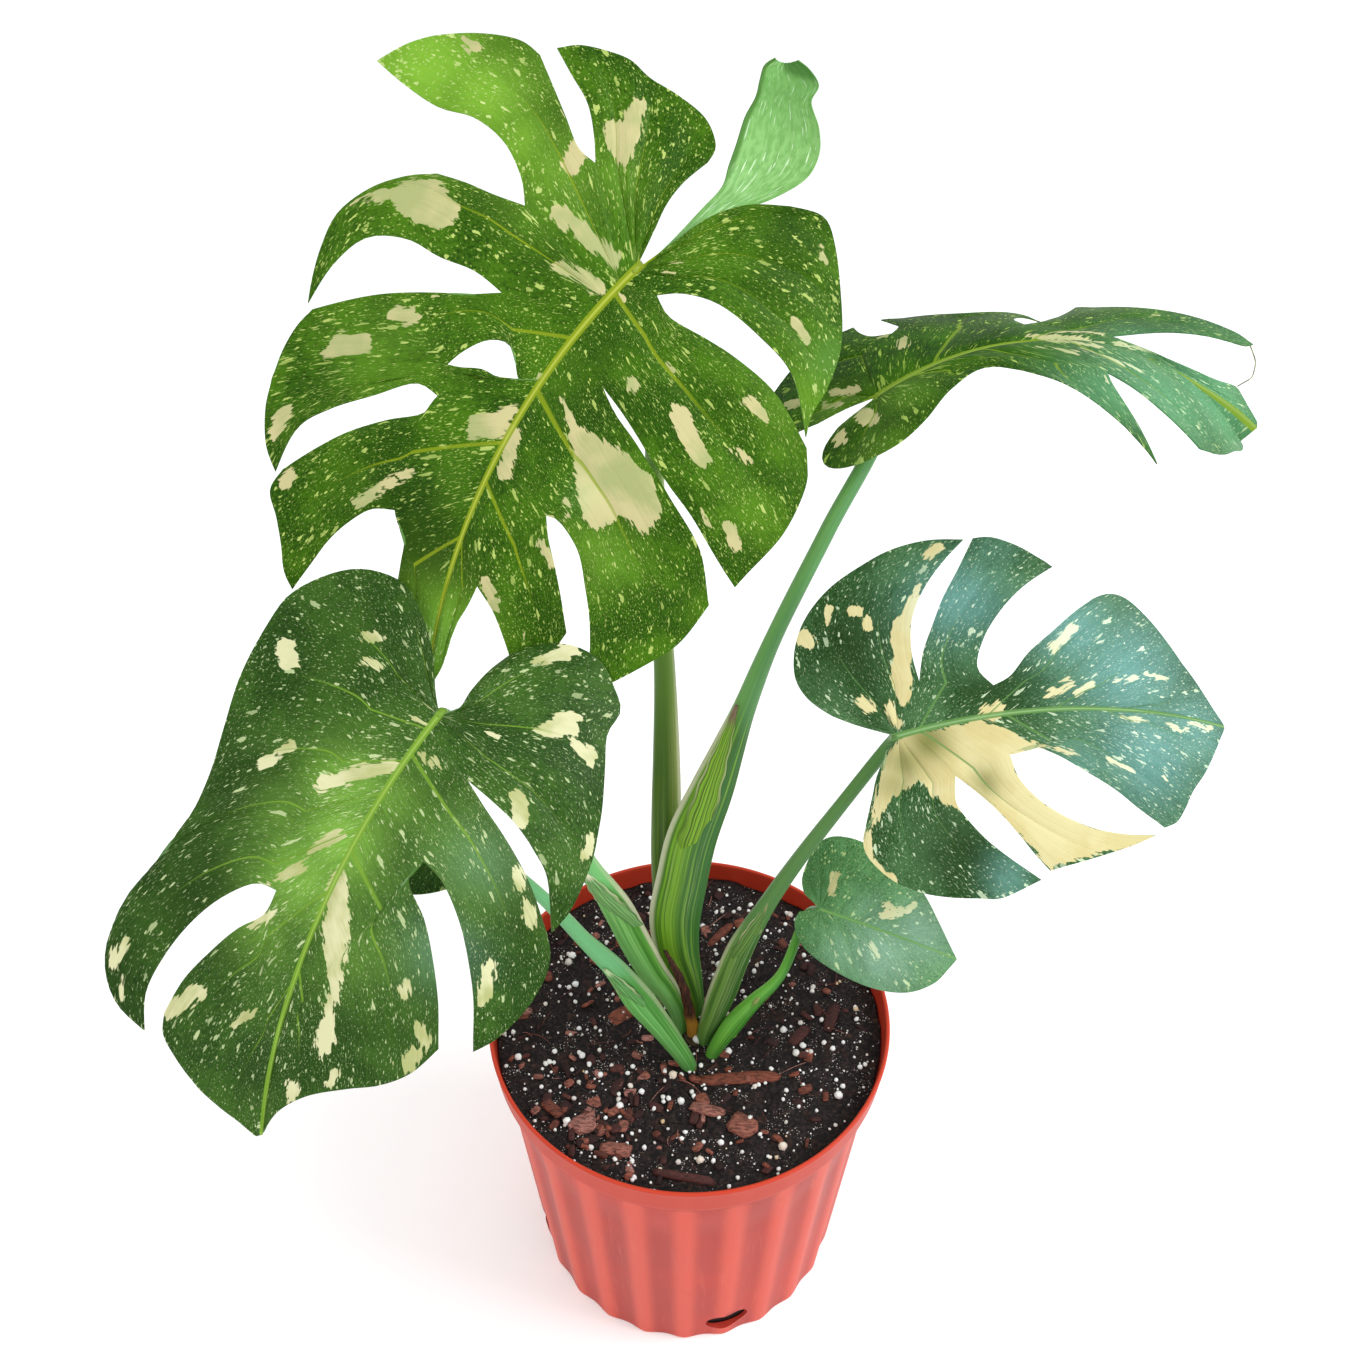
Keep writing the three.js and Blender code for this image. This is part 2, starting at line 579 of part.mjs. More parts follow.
// The tube of a stalk, from under the soil to just under the blade, where its last ring turns
// to lie along the leaf.
function stalkTube(stalk, extra) {
  const turn = leafTurn(stalk.leaf);
  const upright = new THREE.Vector3(0, 0, 1).applyEuler(turn);
  const join = new THREE.Vector3(...stalk.leaf.at).addScaledVector(upright, -bladeThickness / 2 - gap);
  const below = new THREE.Vector3(-neck.back, 0, -neck.drop).applyEuler(turn).add(join);
  const knots = [...stalk.way.map(([x, y, z]) => new THREE.Vector3(x, y, z)), below, join];
  const halves = [...stalk.way.map((knot) => knot[3]), stalk.head + neck.thicker, stalk.head];
  const curve = new THREE.CatmullRomCurve3(knots, false, 'centripetal');
  const centres = curve.getSpacedPoints(stalkRings);
  const acrosses = [];
  const fronts = [];
  const wides = [];
  centres.forEach((centre, i) => {
    const tangent = curve.getTangentAt(i / stalkRings);
    acrosses.push(new THREE.Vector3().crossVectors(broadSide, tangent).normalize());
    fronts.push(new THREE.Vector3().crossVectors(tangent, acrosses[i]).normalize());
    const place = curve.getUtoTmapping(i / stalkRings) * (knots.length - 1);
    const knot = Math.min(Math.floor(place), knots.length - 2);
    wides.push(lerp(halves[knot], halves[knot + 1], place - knot) + extra);
  });
  const foot = curve.getTangentAt(0);
  centres[0].addScaledVector(foot, -extra);
  acrosses[stalkRings].addScaledVector(upright, -acrosses[stalkRings].dot(upright)).normalize();
  fronts[stalkRings].crossVectors(upright, acrosses[stalkRings]);
  const deeps = wides.map((wide) => Math.min(wide, sheathDepth + extra));
  return ovalTube(centres, acrosses, fronts, wides, deeps, stalkSides);
}

// ---- pot ----
const bandFoot = pot.height - pot.bandDepth;
const ledge = bandFoot + pot.wall + pot.bevel;   // inside, where the band meets the body
const bodySlope = (pot.bodyTopRadius - pot.baseRadius) / bandFoot;

function fluteCut(z, angle) {
  const fade = 1 - THREE.MathUtils.smoothstep(z, pot.fadeStart, pot.fadeEnd);
  const turn = pot.flutes * (angle - rad(pot.firstFlute));
  return pot.fluteDepth * fade * 0.5 * (1 - Math.cos(turn));
}

function innerRadius(z) {
  if (z > ledge) return lerp(pot.bandFootRadius, pot.rimRadius, (z - bandFoot) / pot.bandDepth) - pot.wall;
  const fade = 1 - THREE.MathUtils.smoothstep(z, pot.fadeStart, pot.fadeEnd);
  return pot.baseRadius + bodySlope * z - pot.fluteDepth * fade - pot.wall;
}

// A closed solid of revolution from [z, radius function] rings, with a point at either end.
function ringSolid(rings, segments, first, last) {
  const positions = [];
  const faces = [];
  for (const [z, radius] of rings) {
    for (let j = 0; j < segments; j += 1) {
      const angle = (2 * Math.PI * j) / segments + rad(pot.firstFlute);
      const r = radius(angle);
      positions.push(r * Math.cos(angle), r * Math.sin(angle), z);
    }
  }
  const at = (i, j) => i * segments + (j % segments);
  for (let i = 0; i + 1 < rings.length; i += 1) {
    for (let j = 0; j < segments; j += 1) {
      faces.push(at(i, j), at(i, j + 1), at(i + 1, j + 1), at(i, j), at(i + 1, j + 1), at(i + 1, j));
    }
  }
  const low = positions.length / 3;
  positions.push(0, 0, first, 0, 0, last);
  for (let j = 0; j < segments; j += 1) {
    faces.push(low, at(0, j + 1), at(0, j), low + 1, at(rings.length - 1, j), at(rings.length - 1, j + 1));
  }
  return toSolid(meshGeometry(positions, faces));
}

function potSolid() {
  const body = (z) => [z, (angle) => pot.baseRadius + bodySlope * z - fluteCut(z, angle)];
  const round = (z, radius) => [z, () => radius];
  const fadeMiddle = (pot.fadeStart + pot.fadeEnd) / 2;
  const rings = [
    body(0),
    body(pot.fadeStart),
    body(fadeMiddle),
    body(pot.fadeEnd),
    round(bandFoot, pot.bodyTopRadius),
    round(bandFoot + pot.bevel, pot.bandFootRadius),
    round(pot.height - pot.bevel, pot.rimRadius),
    round(pot.height, pot.rimRadius - pot.bevel),
    round(pot.height, innerRadius(pot.height)),
    round(ledge + pot.ledgeRise, innerRadius(ledge + pot.ledgeRise)),
    round(ledge, innerRadius(ledge)),
    round(pot.fadeEnd, innerRadius(pot.fadeEnd)),
    round(pot.fadeStart, innerRadius(pot.fadeStart)),
    round(pot.floor, innerRadius(pot.floor)),
  ];
  let solid = ringSolid(rings, pot.segments, 0, pot.floor);
  for (let i = 0; i < pot.holes; i += 1) {
    const half = pot.holeWidth / 2;
    const cutter = wasm.Manifold.cylinder(pot.holeWidth, half, half, pot.holeSides, true)
      .scale([1, pot.holeHeight / pot.holeWidth, 1])
      .rotate([90, 0, 90])
      .translate([pot.baseRadius, 0, pot.holeCentre])
      .rotate([0, 0, pot.firstHole + (360 * i) / pot.holes]);
    solid = solid.subtract(cutter);
  }
  return solid;
}

// ---- potting mix ----
// A small repeatable source of numbers from 0 to 1, so the grains always fall alike.
function numberSource(seed) {
  let state = seed;
  return () => {
    state = (state * 1664525 + 1013904223) % 4294967296;
    return state / 4294967296;
  };
}

function soilHeight(x, y) {
  const broad = Math.sin(0.062 * x + 0.7) * Math.cos(0.055 * y - 0.4);
  const fine = Math.sin(0.19 * x - 0.13 * y + 1.3) * Math.sin(0.11 * x + 0.17 * y);
  return soil.level + soil.relief * (0.7 * broad + 0.5 * fine);
}

function soilBody() {
  const bottom = pot.floor + soil.clear;
  const shoulder = ledge + soil.clear + pot.ledgeRise;
  const wallRing = (z, wallZ) => [z, () => innerRadius(wallZ) - soil.clear];
  const rings = [
    wallRing(bottom, bottom),
    wallRing(pot.fadeStart, pot.fadeStart),
    wallRing(ledge, ledge),
    wallRing(shoulder, shoulder),
  ];
  for (let i = 0; i < soil.rings; i += 1) {
    rings.push([soil.level, () => (innerRadius(soil.level) - soil.clear) * (1 - i / soil.rings)]);
  }
  const body = ringSolid(rings, soil.segments, bottom, soil.level);
  return body.warp((vert) => {
    if (vert[2] > shoulder + 0.01) vert[2] = soilHeight(vert[0], vert[1]);
  });
}

function soilSolid(rooms) {
  const next = numberSource(3359);
  const between = (a, b) => lerp(a, b, next());
  const reach = innerRadius(soil.level) - soil.clear - soil.edge;
  const grains = [];
  const spot = () => {
    const angle = between(0, 2 * Math.PI);
    const r = reach * Math.sqrt(next());
    return [r * Math.cos(angle), r * Math.sin(angle)];
  };
  for (let i = 0; i < soil.perlite; i += 1) {
    const [x, y] = spot();
    const radius = between(...soil.perliteRadius);
    grains.push(wasm.Manifold.sphere(radius, 4)
      .rotate([between(0, 90), between(0, 90), 0])
      .translate([x, y, soilHeight(x, y) + radius * 0.25]));
  }
  const chip = (x, y, length, width, turn) => {
    grains.push(wasm.Manifold.cube([length, width, chipThickness], true)
      .rotate([between(-9, 9), between(-5, 5), turn])
      .translate([x, y, soilHeight(x, y) + between(0, 0.9)]));
  };
  for (const row of chips) chip(...row);
  for (let i = 0; i < soil.smallChips; i += 1) {
    chip(...spot(), between(8, 13), between(4, 7), between(0, 180));
  }
  let solid = soilBody();
  for (const grain of grains) solid = solid.add(grain);
  for (const room of rooms) solid = solid.subtract(room);
  return largestPiece(solid);
}

// ---- the short stem and the dried sheath ----
function stumpSolid(extra) {
  const height = stump.top - stump.bottom + 2 * extra;
  return wasm.Manifold.cylinder(height, 1, 0.72, 16)
    .scale([stump.halfWide + extra, stump.halfDeep + extra, 1])
    .translate([stump.x, stump.y, stump.bottom - extra]);
}

function driedSheathSolid(thickness, longer) {
  const middle = [];
  const patch = driedSheath.way.map(([x, y, z], i) => {
    const half = driedSheath.halfWidths[i] + longer;
    const down = i === 0 ? longer : 0;
    return [-1, 0, 1].map((side) => {
      middle.push(new THREE.Vector3(x + side * half, y + 1.2 * side * side, z - down));
      return middle.length - 1;
    });
  });
  return toSolid(slab(middle, patchTriangles(patch, true), thickness));
}

// ---- the whole plant ----
for (const leaf of leaves) {
  let geometry = bladeGeometry(leaf, bladeThickness);
  if (leaf === leafA) geometry = toGeometry(toSolid(geometry).add(toSolid(turnedLobeGeometry())));
  addMesh(leaf.name, geometry, leaf.colour, 0.45);
}

const rooms = [];
for (const stalk of stalks) {
  let solid = toSolid(stalkTube(stalk, 0));
  for (const room of rooms) solid = solid.subtract(room);
  solid = solid.subtract(toSolid(bladeGeometry(stalk.leaf, bladeThickness + 2 * gap)));
  addMesh(stalk.name, toGeometry(largestPiece(solid)), 0x7fae58, 0.5);
  rooms.push(toSolid(stalkTube(stalk, gap)));
}

let dried = driedSheathSolid(driedSheath.thickness, 0);
let stem = stumpSolid(0);
const driedRoom = driedSheathSolid(driedSheath.thickness + 2 * gap, gap);
for (const room of rooms) {
  dried = dried.subtract(room);
  stem = stem.subtract(room);
}
addMesh('dried_sheath', toGeometry(largestPiece(dried)), 0x4a2b18, 0.8);
addMesh('stem_stump', toGeometry(largestPiece(stem.subtract(driedRoom))), 0x6b5a34, 0.8);
addMesh('pot', toGeometry(potSolid()), 0xc9523f, 0.45);
addMesh('potting_mix', toGeometry(soilSolid([...rooms, driedRoom, stumpSolid(gap)])), 0x2a211d, 0.95);

export default group;
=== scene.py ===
import bmesh
import bpy
import numpy as np
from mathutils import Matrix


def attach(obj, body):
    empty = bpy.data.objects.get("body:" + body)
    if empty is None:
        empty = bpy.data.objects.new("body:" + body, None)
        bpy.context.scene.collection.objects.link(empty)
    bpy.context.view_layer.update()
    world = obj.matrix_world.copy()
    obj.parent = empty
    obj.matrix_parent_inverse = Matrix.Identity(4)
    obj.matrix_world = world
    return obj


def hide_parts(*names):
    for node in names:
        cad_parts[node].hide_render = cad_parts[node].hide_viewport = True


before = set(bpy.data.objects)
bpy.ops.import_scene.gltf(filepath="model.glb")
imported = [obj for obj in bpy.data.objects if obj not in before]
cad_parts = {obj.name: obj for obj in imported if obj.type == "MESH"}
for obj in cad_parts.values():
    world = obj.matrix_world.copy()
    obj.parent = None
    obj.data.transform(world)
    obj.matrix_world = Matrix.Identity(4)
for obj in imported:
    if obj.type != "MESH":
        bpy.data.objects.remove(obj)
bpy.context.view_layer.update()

# A potted monstera with cream-flecked leaves. Lengths here are millimetres, and a mesh is metres.
# -Y is the side it is seen from, and the pot's base stands on z = 0.
rad = np.radians


def paint(red, green, blue):                     # a colour as a screen shows it, 0 to 255, to light
    c = np.array([red, green, blue]) / 255
    return (*np.where(c <= 0.04045, c / 12.92, ((c + 0.055) / 1.055) ** 2.4), 1)


# ---- camera, floor and light ----
studio = dict(cameraAt=(-9, -540, 967), cameraTilt=40.4, lens=37.333, sensor=36,
              floorSize=30, floorDrop=0.6, floorColour=paint(252, 252, 251), floorGlow=0.14, sky=0.84,
              skyColour=(0.97, 0.985, 1, 1))


def newObject(name, data):
    made = bpy.data.objects.new(name, data)
    bpy.context.scene.collection.objects.link(made)
    return made


def addLight(name, place, aim, size, watts, colour):
    data = bpy.data.lights.new(name, "AREA")
    data.size = size
    data.energy = watts
    data.color = colour
    light = newObject(name, data)
    light.location = place
    way = np.array(aim, float) - place
    light.rotation_euler = (np.arctan2(np.hypot(way[0], way[1]), -way[2]), 0,
                            np.arctan2(way[1], way[0]) - np.pi / 2)


cameraData = bpy.data.cameras.new("camera")
cameraData.lens = studio["lens"]
cameraData.sensor_width = studio["sensor"]
cameraData.clip_end = 100
camera = newObject("camera", cameraData)
camera.location = np.array(studio["cameraAt"]) / 1000
camera.rotation_euler = (rad(90 - studio["cameraTilt"]), 0, 0)
bpy.context.scene.camera = camera

world = bpy.data.worlds.new("soft_room")
bpy.context.scene.world = world
world.use_nodes = True
sky = world.node_tree.nodes["Background"]
sky.inputs["Color"].default_value = studio["skyColour"]
sky.inputs["Strength"].default_value = studio["sky"]
bpy.context.scene.view_settings.view_transform = "Standard"
addLight("window", (2.1, -0.3, 2.3), (0, 0, 0.4), 1.6, 56, (0.93, 0.97, 1))
addLight("lamp", (-0.9, -2.2, 2.4), (0, 0, 0.35), 1.8, 22, (1, 0.98, 0.95))


# ---- shader arithmetic ----
class Amount:                                    # a shader socket that takes part in plain arithmetic
    def __init__(self, finish, socket):
        self.finish = finish
        self.socket = socket

    def math(self, operation, *values):
        return self.finish.add("ShaderNodeMath", {"operation": operation}, dict(enumerate(values)))

    def __add__(self, other):
        return self.math("ADD", self, other)

    def __sub__(self, other):
        return self.math("SUBTRACT", self, other)

    def __rsub__(self, other):
        return self.math("SUBTRACT", other, self)

    def __mul__(self, other):
        return self.math("MULTIPLY", self, other)

    def __truediv__(self, other):
        return self.math("DIVIDE", self, other)

    def __abs__(self):
        return self.math("ABSOLUTE", self)

    def fraction(self):
        return self.math("FRACT", self)

    __radd__ = __add__
    __rmul__ = __mul__


class Finish:                                    # a material with its Principled shader
    def __init__(self, name, roughness=0.5, specular=0.5):
        self.material = bpy.data.materials.new(name)
        self.material.use_nodes = True
        self.tree = self.material.node_tree
        self.shader = self.tree.nodes["Principled BSDF"]
        self.body = None
        self.shader.inputs["Roughness"].default_value = roughness
        self.shader.inputs["Specular IOR Level"].default_value = specular

    def add(self, kind, settings=None, inputs=None, output=0):
        node = self.tree.nodes.new(kind)
        for key, value in (settings or {}).items():
            setattr(node, key, value)
        for key, value in (inputs or {}).items():
            if isinstance(value, Amount):
                self.tree.links.new(value.socket, node.inputs[key])
            else:
                node.inputs[key].default_value = value
        return Amount(self, node.outputs[output])

    def feed(self, name, value):                 # what changes over the surface
        self.tree.links.new(value.socket, self.shader.inputs[name])

    def smooth(self, value, low, high):          # 0 at low, 1 at high, eased between
        return self.add("ShaderNodeMapRange", {"interpolation_type": "SMOOTHSTEP"},
                        {"Value": value, "From Min": low, "From Max": high})

    def mix(self, amount, first, second):        # sockets, or colours as a screen shows them
        first, second = (paint(*tone) if isinstance(tone, tuple) else tone for tone in (first, second))
        return self.add("ShaderNodeMix", {"data_type": "RGBA", "clamp_factor": True},
                        {0: amount, 6: first, 7: second}, 2)

    def uv(self, name):
        return self.add("ShaderNodeUVMap", {"uv_map": name})

    def attribute(self, name):
        return self.add("ShaderNodeAttribute", {"attribute_name": name}, output=2)

    def place(self):
        return self.add("ShaderNodeTexCoord", output=3)

    def parts(self, vector):
        node = self.add("ShaderNodeSeparateXYZ", None, {0: vector}).socket.node
        return [Amount(self, socket) for socket in node.outputs]

    def stretch(self, vector, scale, shift=(0, 0, 0)):
        return self.add("ShaderNodeMapping", None, {"Vector": vector, "Scale": scale, "Location": shift})

    def noise(self, vector, scale=1, detail=2, roughness=0.5, output=0):
        return self.add("ShaderNodeTexNoise", None,
                        {"Vector": vector, "Scale": scale, "Detail": detail, "Roughness": roughness}, output)

    def drawn(self, vector, scale, detail=2, roughness=0.5, shift=(0, 0, 0)):
        # noise with its own scale along each axis
        return self.noise(self.stretch(vector, scale, shift), 1, detail, roughness)

    def ramp(self, tone, stops):                 # colours at their places between 0 and 1
        ramp = self.add("ShaderNodeValToRGB", None, {0: tone})
        elements = ramp.socket.node.color_ramp.elements
        while len(elements) < len(stops):
            elements.new(0.5)
        for stop, (place, colour) in zip(elements, stops):
            stop.position = place
            stop.color = paint(*colour)
        return ramp

    def coat(self, amount, colour):              # lays a colour over the body's colours so far
        self.body = self.mix(amount, self.body, colour)

    def spots(self, vector, share, reach):       # ragged spots of random size in that share of the cells
        shift = self.noise(vector, 2.2, 2, 0.6, output=1)
        ragged = self.add("ShaderNodeVectorMath", {"operation": "MULTIPLY_ADD"},
                          {0: shift, 1: (0.8, 0.8, 0), 2: vector})
        cell = self.add("ShaderNodeTexVoronoi", None, {"Vector": ragged, "Scale": 1}).socket.node
        chance, strength = self.parts(Amount(self, cell.outputs["Color"]))[:2]
        over = chance + share - 1
        radius = reach * (0.35 + 0.65 * over / share)
        return (self.smooth(over, 0, 0.01) * (0.55 + 0.45 * strength)
                * self.smooth(radius - Amount(self, cell.outputs["Distance"]), 0, 0.05))

    def dress(self, roughness, height, strength, distance):
        # feeds the body's colours, the roughness unless it is None, and bumps of a distance in metres
        self.feed("Base Color", self.body)
        if roughness is not None:
            self.feed("Roughness", roughness)
        self.feed("Normal", self.add("ShaderNodeBump", None,
                                     {"Height": height, "Strength": strength, "Distance": distance}))
        return self


# ---- meshes ----
def gridFaces(rows, columns, start=0, closed=False, turned=False):
    # quads of a grid of points stored row by row; a closed grid joins its last column to its first
    r, c = np.meshgrid(np.arange(rows - 1), np.arange(columns if closed else columns - 1), indexing="ij")
    nextC = (c + 1) % columns
    near, far = r * columns + start, (r + 1) * columns + start
    quads = rowsOf(near + c, near + nextC, far + nextC, far + c)
    return quads[:, ::-1] if turned else quads


def capFaces(ring, centre, turned=False):        # triangles from a ring of points to its centre
    fan = np.stack([ring, np.roll(ring, -1), np.full(len(ring), centre)], -1)
    return fan[:, ::-1] if turned else fan


def tubeFaces(rows, columns):                    # a closed grid whose ends close on the two points after it
    ring = np.arange(columns)
    return [*gridFaces(rows, columns, closed=True), *capFaces(ring, rows * columns, turned=True),
            *capFaces(ring + (rows - 1) * columns, rows * columns + 1)]


def circle(count):                               # angles round a circle, as one row
    return np.linspace(0, 2 * np.pi, count, endpoint=False)[None]


def unit(v):
    return v / np.linalg.norm(v, axis=-1, keepdims=True)


def rowsOf(*columns):                            # numbers or grids of matching shapes, as rows
    return np.stack(np.broadcast_arrays(*columns), -1).reshape(-1, len(columns))


def fourAround(p, t):                            # two points before and two after each t, and how far between
    k = np.minimum(t.astype(int), len(p) - 4)
    return *(p[k + i] for i in range(4)), (t - k)[:, None]


def eased(b, c, pull, push, w):                  # from b to c while w runs from 0 to 1, with a slope at each
    return (2 * b - 2 * c + pull + push) * w ** 3 + (3 * c - 3 * b - 2 * pull - push) * w ** 2 + pull * w + b


def smoothCurve(corners, t):                     # through the corners; t runs over their numbers
    a, b, c, d, w = fourAround(np.vstack([corners[:1], corners, corners[-1:]]), t)
    return eased(b, c, (c - a) / 2, (d - b) / 2, w)


def knotRows(way, count, passes):                # rows along a way of knots, evened out by those passes
    knots = np.array(way, float)
    t = np.linspace(0, len(knots) - 1, count)
    row = rowsOf(*(np.interp(t, np.arange(len(knots)), column) for column in knots.T))
    for _ in range(passes):
        row[1:-1] = (row[:-2] + row[1:-1] + row[2:]) / 3
    return t, row


def meshOf(name, points, faces, uvs=None, values=None):
    # points in millimetres; uvs and values hold one row for each point
    mesh = bpy.data.meshes.new(name)
    mesh.from_pydata((np.asarray(points, float) / 1000).tolist(), [], [list(map(int, f)) for f in faces])
    corners = np.zeros(len(mesh.loops), np.int32)
    mesh.loops.foreach_get("vertex_index", corners)
    for key, uv in (uvs or {}).items():
        mesh.uv_layers.new(name=key).data.foreach_set("uv", np.asarray(uv, np.float32)[corners].ravel())
    for key, value in (values or {}).items():
        mesh.attributes.new(key, "FLOAT", "POINT").data.foreach_set("value", np.asarray(value, np.float32))
    mesh.polygons.foreach_set("use_smooth", np.ones(len(mesh.polygons), bool))
    return mesh


def weld(mesh, distance=0.00002):                # joins points that meet and drops faces without area
    work = bmesh.new()
    work.from_mesh(mesh)
    bmesh.ops.remove_doubles(work, verts=work.verts, dist=distance)
    bmesh.ops.dissolve_degenerate(work, edges=work.edges, dist=distance / 4)
    work.to_mesh(mesh)
    work.free()


def addPiece(name, mesh, finishes, nodes=()):
    piece = newObject(name, mesh)
    for finish in finishes:
        mesh.materials.append(finish.material)
    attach(piece, "root")
    if nodes:
        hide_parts(*nodes)
    return piece


def settle(piece, sharpFrom):                    # makes the modifiers' result the piece's own mesh
    made = bpy.data.meshes.new_from_object(piece.evaluated_get(bpy.context.evaluated_depsgraph_get()))
    piece.modifiers.clear()
    piece.data = made
    made.set_sharp_from_angle(angle=rad(sharpFrom))


def thicken(piece, thickness, sharpFrom, backFinish=0):
    # gives a sheet its thickness, half to each side; backFinish counts on to the material of its back
    shell = piece.modifiers.new("shell", "SOLIDIFY")
    shell.thickness = thickness / 1000
    shell.offset = 0
    shell.material_offset = backFinish
    settle(piece, sharpFrom)


def latticeNoise(x, y, cell, seed):              # smooth random heights, -1 to 1, from a seeded lattice
    table = np.random.default_rng(seed).uniform(-1, 1, (64, 64))
    u, v = x / cell, y / cell
    i, j = np.floor(u).astype(int), np.floor(v).astype(int)
    a, b = u - i, v - j
    a, b = a * a * (3 - 2 * a), b * b * (3 - 2 * b)
    nextI, nextJ, i, j = (i + 1) % 64, (j + 1) % 64, i % 64, j % 64
    return (table[i, j] * (1 - a) * (1 - b) + table[nextI, j] * a * (1 - b)
            + table[i, nextJ] * (1 - a) * b + table[nextI, nextJ] * a * b)


floorFinish = Finish("pale_floor", roughness=0.9, specular=0.1)
for key, value in (("Base Color", "floorColour"), ("Emission Color", "floorColour"),
                   ("Emission Strength", "floorGlow")):
    floorFinish.shader.inputs[key].default_value = studio[value]
half, drop = studio["floorSize"] * 500, -studio["floorDrop"]
corners = [[-half, -half, drop], [half, -half, drop], [half, half, drop], [-half, half, drop]]
floorMesh = meshOf("floor", corners, [[0, 1, 2, 3]])
floorMesh.materials.append(floorFinish.material)
newObject("floor", floorMesh)
print("camera, floor and light ready")


# ---- pot ----
pot = dict(height=228, rimRadius=127, bandFootRadius=125, bandDepth=21, bodyTopRadius=120.6, baseRadius=104.4,
           wall=2.6, floor=3.4, flutes=24, fluteDepth=2, firstFlute=-1.6, fadeStart=158, fadeEnd=198,
           bevel=0.8, lipRound=1.3, ledgeRise=0.6, segments=384, holes=4, holeWidth=29, holeHeight=20,
           holeCentre=21, holeSlant=0.09, holeSides=40, cutReach=14, firstHole=-75.5)
bandSlope = (pot["rimRadius"] - pot["bandFootRadius"]) / pot["bandDepth"]
bandFoot = pot["height"] - pot["bandDepth"]
ledge = bandFoot + pot["wall"] + pot["bevel"]
bodySlope = (pot["bodyTopRadius"] - pot["baseRadius"]) / bandFoot


def ease(x, low, high):                          # 0 below low, 1 above high, eased between
    t = np.clip((x - low) / (high - low), 0, 1)
    return t * t * (3 - 2 * t)


def bandRadius(z):
    return pot["bandFootRadius"] + bandSlope * (z - bandFoot)


def fluteAt(z):                                  # how deep the flutes are at a height
    return pot["fluteDepth"] * (1 - ease(z, pot["fadeStart"], pot["fadeEnd"]))


def innerRadius(z):
    body = pot["baseRadius"] + bodySlope * z - fluteAt(z)
    return np.where(z > ledge, bandRadius(z), body) - pot["wall"]


def potMesh():
    # profile rings [height, radius, how deep the flutes are there], carried round the axis
    base, top, band = pot["baseRadius"], pot["height"], pot["bandFootRadius"]
    lip = pot["lipRound"]
    rings = [[0, base - 1.2, pot["fluteDepth"]], [0.35, base - 0.35, pot["fluteDepth"]]]
    body = [1.2, *np.linspace(4, pot["fadeStart"], 24), *np.linspace(161, pot["fadeEnd"], 14), 203]
    rings += [[z, base + bodySlope * z, fluteAt(z)] for z in body]
    rings += [[bandFoot - 0.5, pot["bodyTopRadius"] + 0.1, 0], [bandFoot, pot["bodyTopRadius"] + 0.6, 0],
              [bandFoot, band - 0.7, 0], [bandFoot + 0.3, band - 0.15, 0], [bandFoot + 0.9, band, 0]]
    rings += [[z, bandRadius(z), 0] for z in np.linspace(bandFoot + 2, top - 2.2, 8)]
    rings += [[top - lip + lip * np.sin(turn), bandRadius(top) - lip + lip * np.cos(turn), 0]
              for turn in np.linspace(0, np.pi, 9)]
    rings += [[z, float(innerRadius(z)), 0] for z in np.linspace(top - 3, ledge + pot["ledgeRise"], 6)]
    rings += [[ledge + 0.1, float(innerRadius(ledge - 0.1)) + 0.8, 0]]
    rings += [[z, float(innerRadius(z)), 0] for z in (ledge - 0.6, 200, 180, 158, 80, pot["floor"])]
    z, radius, depth = np.array(rings).T[:, :, None]
    angle = circle(pot["segments"])
    wave = (0.5 * (1 - np.cos(pot["flutes"] * (angle - rad(pot["firstFlute"]))))) ** 0.8
    r = radius - depth * wave
    points = np.vstack([rowsOf(r * np.cos(angle), r * np.sin(angle), z), [[0, 0, 0], [0, 0, pot["floor"]]]])
    crest = np.append((1 - wave) * np.where(depth > 0, 1, 0.5), [0.5, 0.5])
    return meshOf("pot_fluted", points, tubeFaces(len(rings), pot["segments"]), values={"crest": crest})


def plasticFinish():
    finish = Finish("moulded_red_plastic", roughness=0.42, specular=0.2)
    z = finish.parts(finish.place())[2]
    wide = finish.noise(finish.place(), 9, 3, 0.55)
    streaks = finish.drawn(finish.place(), (260, 260, 14), 3, 0.6)
    fine = finish.noise(finish.place(), 900, 2, 0.5)
    finish.body = finish.mix(finish.smooth(wide, 0.35, 0.7), (163, 46, 35), (182, 56, 43))
    # lighter flute crests and darker grooves: partly scuffed plastic, mostly a painted highlight on the
    # crests and painted shade in the grooves
    finish.coat(finish.smooth(finish.attribute("crest"), 0.1, 0.95) * 0.75, (214, 82, 62))
    finish.coat(finish.smooth(streaks, 0.55, 0.8) * 0.22, (218, 112, 92))
    band = finish.smooth(z, 0.2062, 0.2074)
    # a painted shadow: a dark line just under the band's edge
    finish.coat(finish.smooth(z, 0.2035, 0.2062) * (1 - band) * 0.45, (96, 30, 24))
    finish.coat(band * 0.8, (186, 54, 32))
    finish.coat(finish.smooth(z, 0.2265, 0.2279) * 0.6, (206, 66, 40))
    dust = finish.smooth(finish.noise(finish.place(), 60, 4, 0.65), 0.62, 0.8) * (1 - band)
    finish.coat(dust * 0.2, (140, 82, 68))
    return finish.dress(0.36 + 0.16 * wide + 0.1 * dust, fine + 0.4 * streaks, 0.12, 0.0004)


